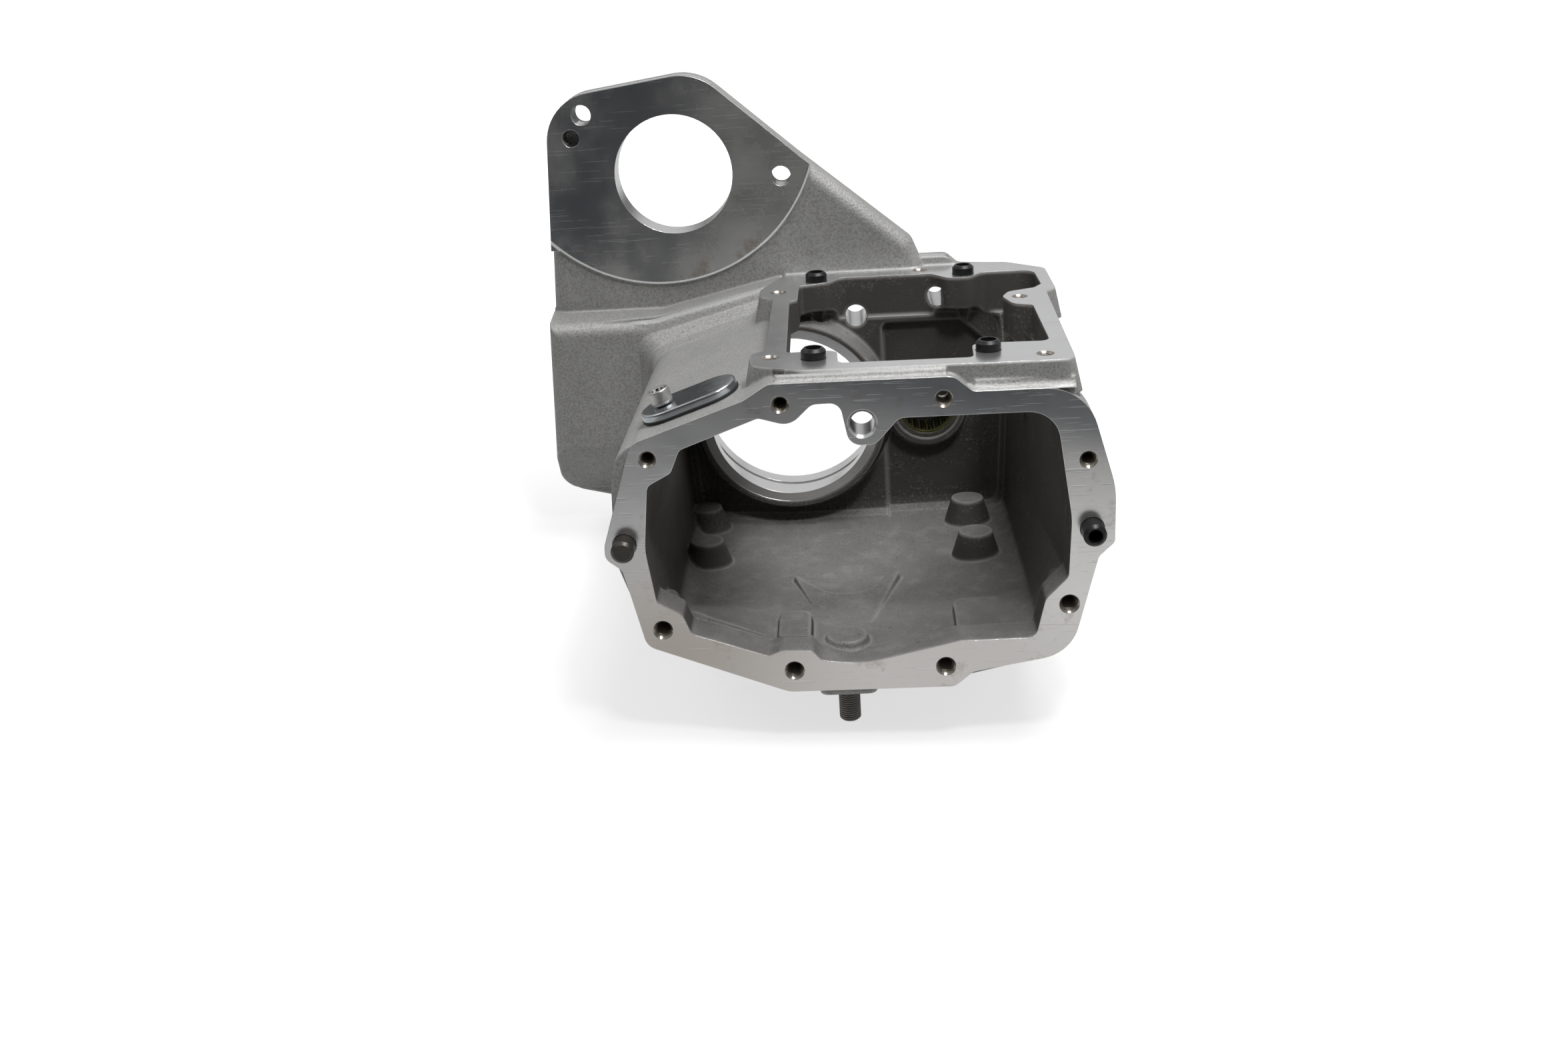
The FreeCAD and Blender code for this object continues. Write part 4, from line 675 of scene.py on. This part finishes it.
POINTS_PER_TURN = 20
RIDGE_PROFILE = ((0.1, -0.42), (-0.09, -0.06), (-0.09, 0.06), (0.1, 0.42))
DEEP_THREAD, SHALLOW_THREAD, TOP_THREAD = 21.0, 13.0, 14.0
SHALLOW_HOLE = "door_thread_c"


def thread_pitch(radius):
    """Pitch of a quarter inch thread, or of a 5/16 inch one, whose hole is over 3 mm in radius."""
    return 1.27 if radius < 3.0 else 1.41


def thread_ridge(shape, mouth, along, radius, depth, pitch):
    """Ridge that winds from a hole's mouth to its foot, fading at both ends, its back sunk in the wall."""
    loops = []
    count = int((depth - 2 * pitch) / pitch * POINTS_PER_TURN)
    for step in range(count + 1):
        out = outward(along, 2 * math.pi * step / POINTS_PER_TURN)
        height = pitch * (0.8 + step / POINTS_PER_TURN)
        fade = min(1.0, step / 6, (count - step) / 6)
        loops.append([
            shape.verts.new((mouth + along * (height + up * pitch) + out * radius * (1 + bulge * fade)) * MM)
            for bulge, up in RIDGE_PROFILE])
    join_loops(shape, loops)


def tapped_ridges():
    shape = bmesh.new()
    for name in DOOR_THREADS:
        x, _, z = mount_place(name)
        radius = mount_radius(name)
        depth = SHALLOW_THREAD if name == SHALLOW_HOLE else DEEP_THREAD
        mouth = Vector((x, DOOR_FACE, z))
        thread_ridge(shape, mouth, Vector((0, 1, 0)), radius, depth, thread_pitch(radius))
    for name in TOP_THREADS:
        x, y, _ = mount_place(name)
        radius = mount_radius(name)
        mouth = Vector((x, y, TOP_FACE))
        thread_ridge(shape, mouth, Vector((0, 0, -1)), radius, TOP_THREAD, thread_pitch(radius))
    bmesh.ops.recalc_face_normals(shape, faces=shape.faces)
    return mesh_object("tapped_threads", shape)


tapped = tapped_ridges()
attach(tapped, "housing")
dress(tapped, plain_metal("thread_flanks", light=(0.3, 0.27, 0.23), dark=(0.14, 0.12, 0.1),
                          metallic=0.85, rough=0.4, grain=1.0, edge=0.05))


# camera at the photograph's place

RIGHT = Vector((0.99806065, 0.02608028, -0.05652213))
DOWN = Vector((-0.04335408, -0.36034594, -0.93181072))
AHEAD = Vector((-0.04466941, 0.93245408, -0.35851642))
EYE = Vector((0.03089, -0.79025, 0.24810))
FOCAL_PIXELS, PHOTO_WIDTH = 2505.0, 2352.0
SENSOR_WIDTH = 36.0


def place_camera():
    data = bpy.data.cameras.new("camera")
    data.sensor_width = SENSOR_WIDTH
    data.lens = SENSOR_WIDTH * FOCAL_PIXELS / PHOTO_WIDTH
    data.clip_start = 0.01
    data.clip_end = 100.0
    camera = bpy.data.objects.new("camera", data)
    bpy.context.scene.collection.objects.link(camera)
    turn = Matrix((RIGHT, -DOWN, -AHEAD)).transposed().to_4x4()
    camera.matrix_world = Matrix.Translation(EYE) @ turn
    bpy.context.scene.camera = camera


place_camera()

# floor: the housing stands on its stud and the lower edge of its outer face
PLUMB = Vector((0.0343, -0.172, 0.9845)).normalized()
FLOOR_HEIGHT = -0.0725
FLOOR_RADIUS = 6.0


def floor_disc():
    shape = bmesh.new()
    bmesh.ops.create_circle(shape, cap_ends=True, segments=96, radius=FLOOR_RADIUS)
    obj = mesh_object("floor", shape)
    obj.rotation_mode = "QUATERNION"
    obj.rotation_quaternion = PLUMB.to_track_quat("Z", "Y")
    obj.location = PLUMB * FLOOR_HEIGHT
    return obj


def floor_material():
    """White to the camera, with the housing's shadow; in reflections it darkens with distance."""
    net = Surface("floor")
    net.set(Base_Color=(0.42, 0.42, 0.42), Roughness=0.9, Specular_IOR_Level=0.0)
    seen = net.either(net.ray("Camera"), net.ray("Transmission"))
    away = net.distance(net.x, net.y)
    white = net.new("ShaderNodeEmission")
    net.feed(white.inputs["Strength"], seen * net.blend(net.smooth(away, 180.0, 420.0), 0.66, 1.0))
    add = net.new("ShaderNodeAddShader")
    net.feed(add.inputs[0], net.shader.outputs[0])
    net.feed(add.inputs[1], white.outputs[0])
    mirrored = net.new("ShaderNodeEmission")
    away_from_right = net.distance(net.x - 130.0, net.y)
    darkening = net.smooth(away_from_right, 600.0, 1080.0)
    net.feed(mirrored.inputs["Strength"], net.blend(darkening, 0.64, 0.08))
    choice = net.new("ShaderNodeMixShader")
    net.feed(choice.inputs[0], net.ray("Glossy"))
    net.feed(choice.inputs[1], add.outputs[0])
    net.feed(choice.inputs[2], mirrored.outputs[0])
    net.feed(net.output.inputs["Surface"], choice.outputs[0])
    return net.material


dress(floor_disc(), floor_material())


def light_world():
    """White to the camera; light comes from above and behind, and the room in front is dark."""
    world = bpy.data.worlds.new("world")
    bpy.context.scene.world = world
    world.use_nodes = True
    net = Net(world.node_tree)
    _, backward, upward = net.parts(net.new("ShaderNodeTexCoord").outputs["Generated"])
    room = net.blend(net.smooth(backward, -0.6, 0.3), 0.08, 0.62)
    shine = net.blend(net.smooth(upward, 0.35, 0.9), room, 0.45)
    seen = net.either(net.ray("Camera"), net.ray("Transmission"))
    background = net.tree.nodes["Background"]
    net.feed(background.inputs["Strength"], net.blend(seen, shine, 1.0))
    net.feed(background.inputs["Color"], (1.0, 1.0, 1.0))


light_world()


def lamp(name, place, target, size, power):
    """Area lamp aimed at a target; power is in watts."""
    data = bpy.data.lights.new(name, "AREA")
    data.shape = "RECTANGLE"
    data.size, data.size_y = size
    data.energy = power
    obj = bpy.data.objects.new(name, data)
    bpy.context.scene.collection.objects.link(obj)
    obj.location = place
    obj.rotation_mode = "QUATERNION"
    obj.rotation_quaternion = (Vector(target) - Vector(place)).to_track_quat("-Z", "Y")


lamp("key", place=(0.35, -0.15, 1.2), target=(0.0, -0.06, 0.0), size=(0.7, 0.6), power=11.0)
lamp("side", place=(-0.9, -0.1, 0.95), target=(0.0, -0.06, 0.0), size=(0.6, 0.6), power=1.6)
lamp("front", place=(0.22, -0.5, 0.74), target=(0.02, -0.06, -0.03), size=(0.14, 0.1), power=2.6)
bpy.context.scene.view_settings.view_transform = "Standard"
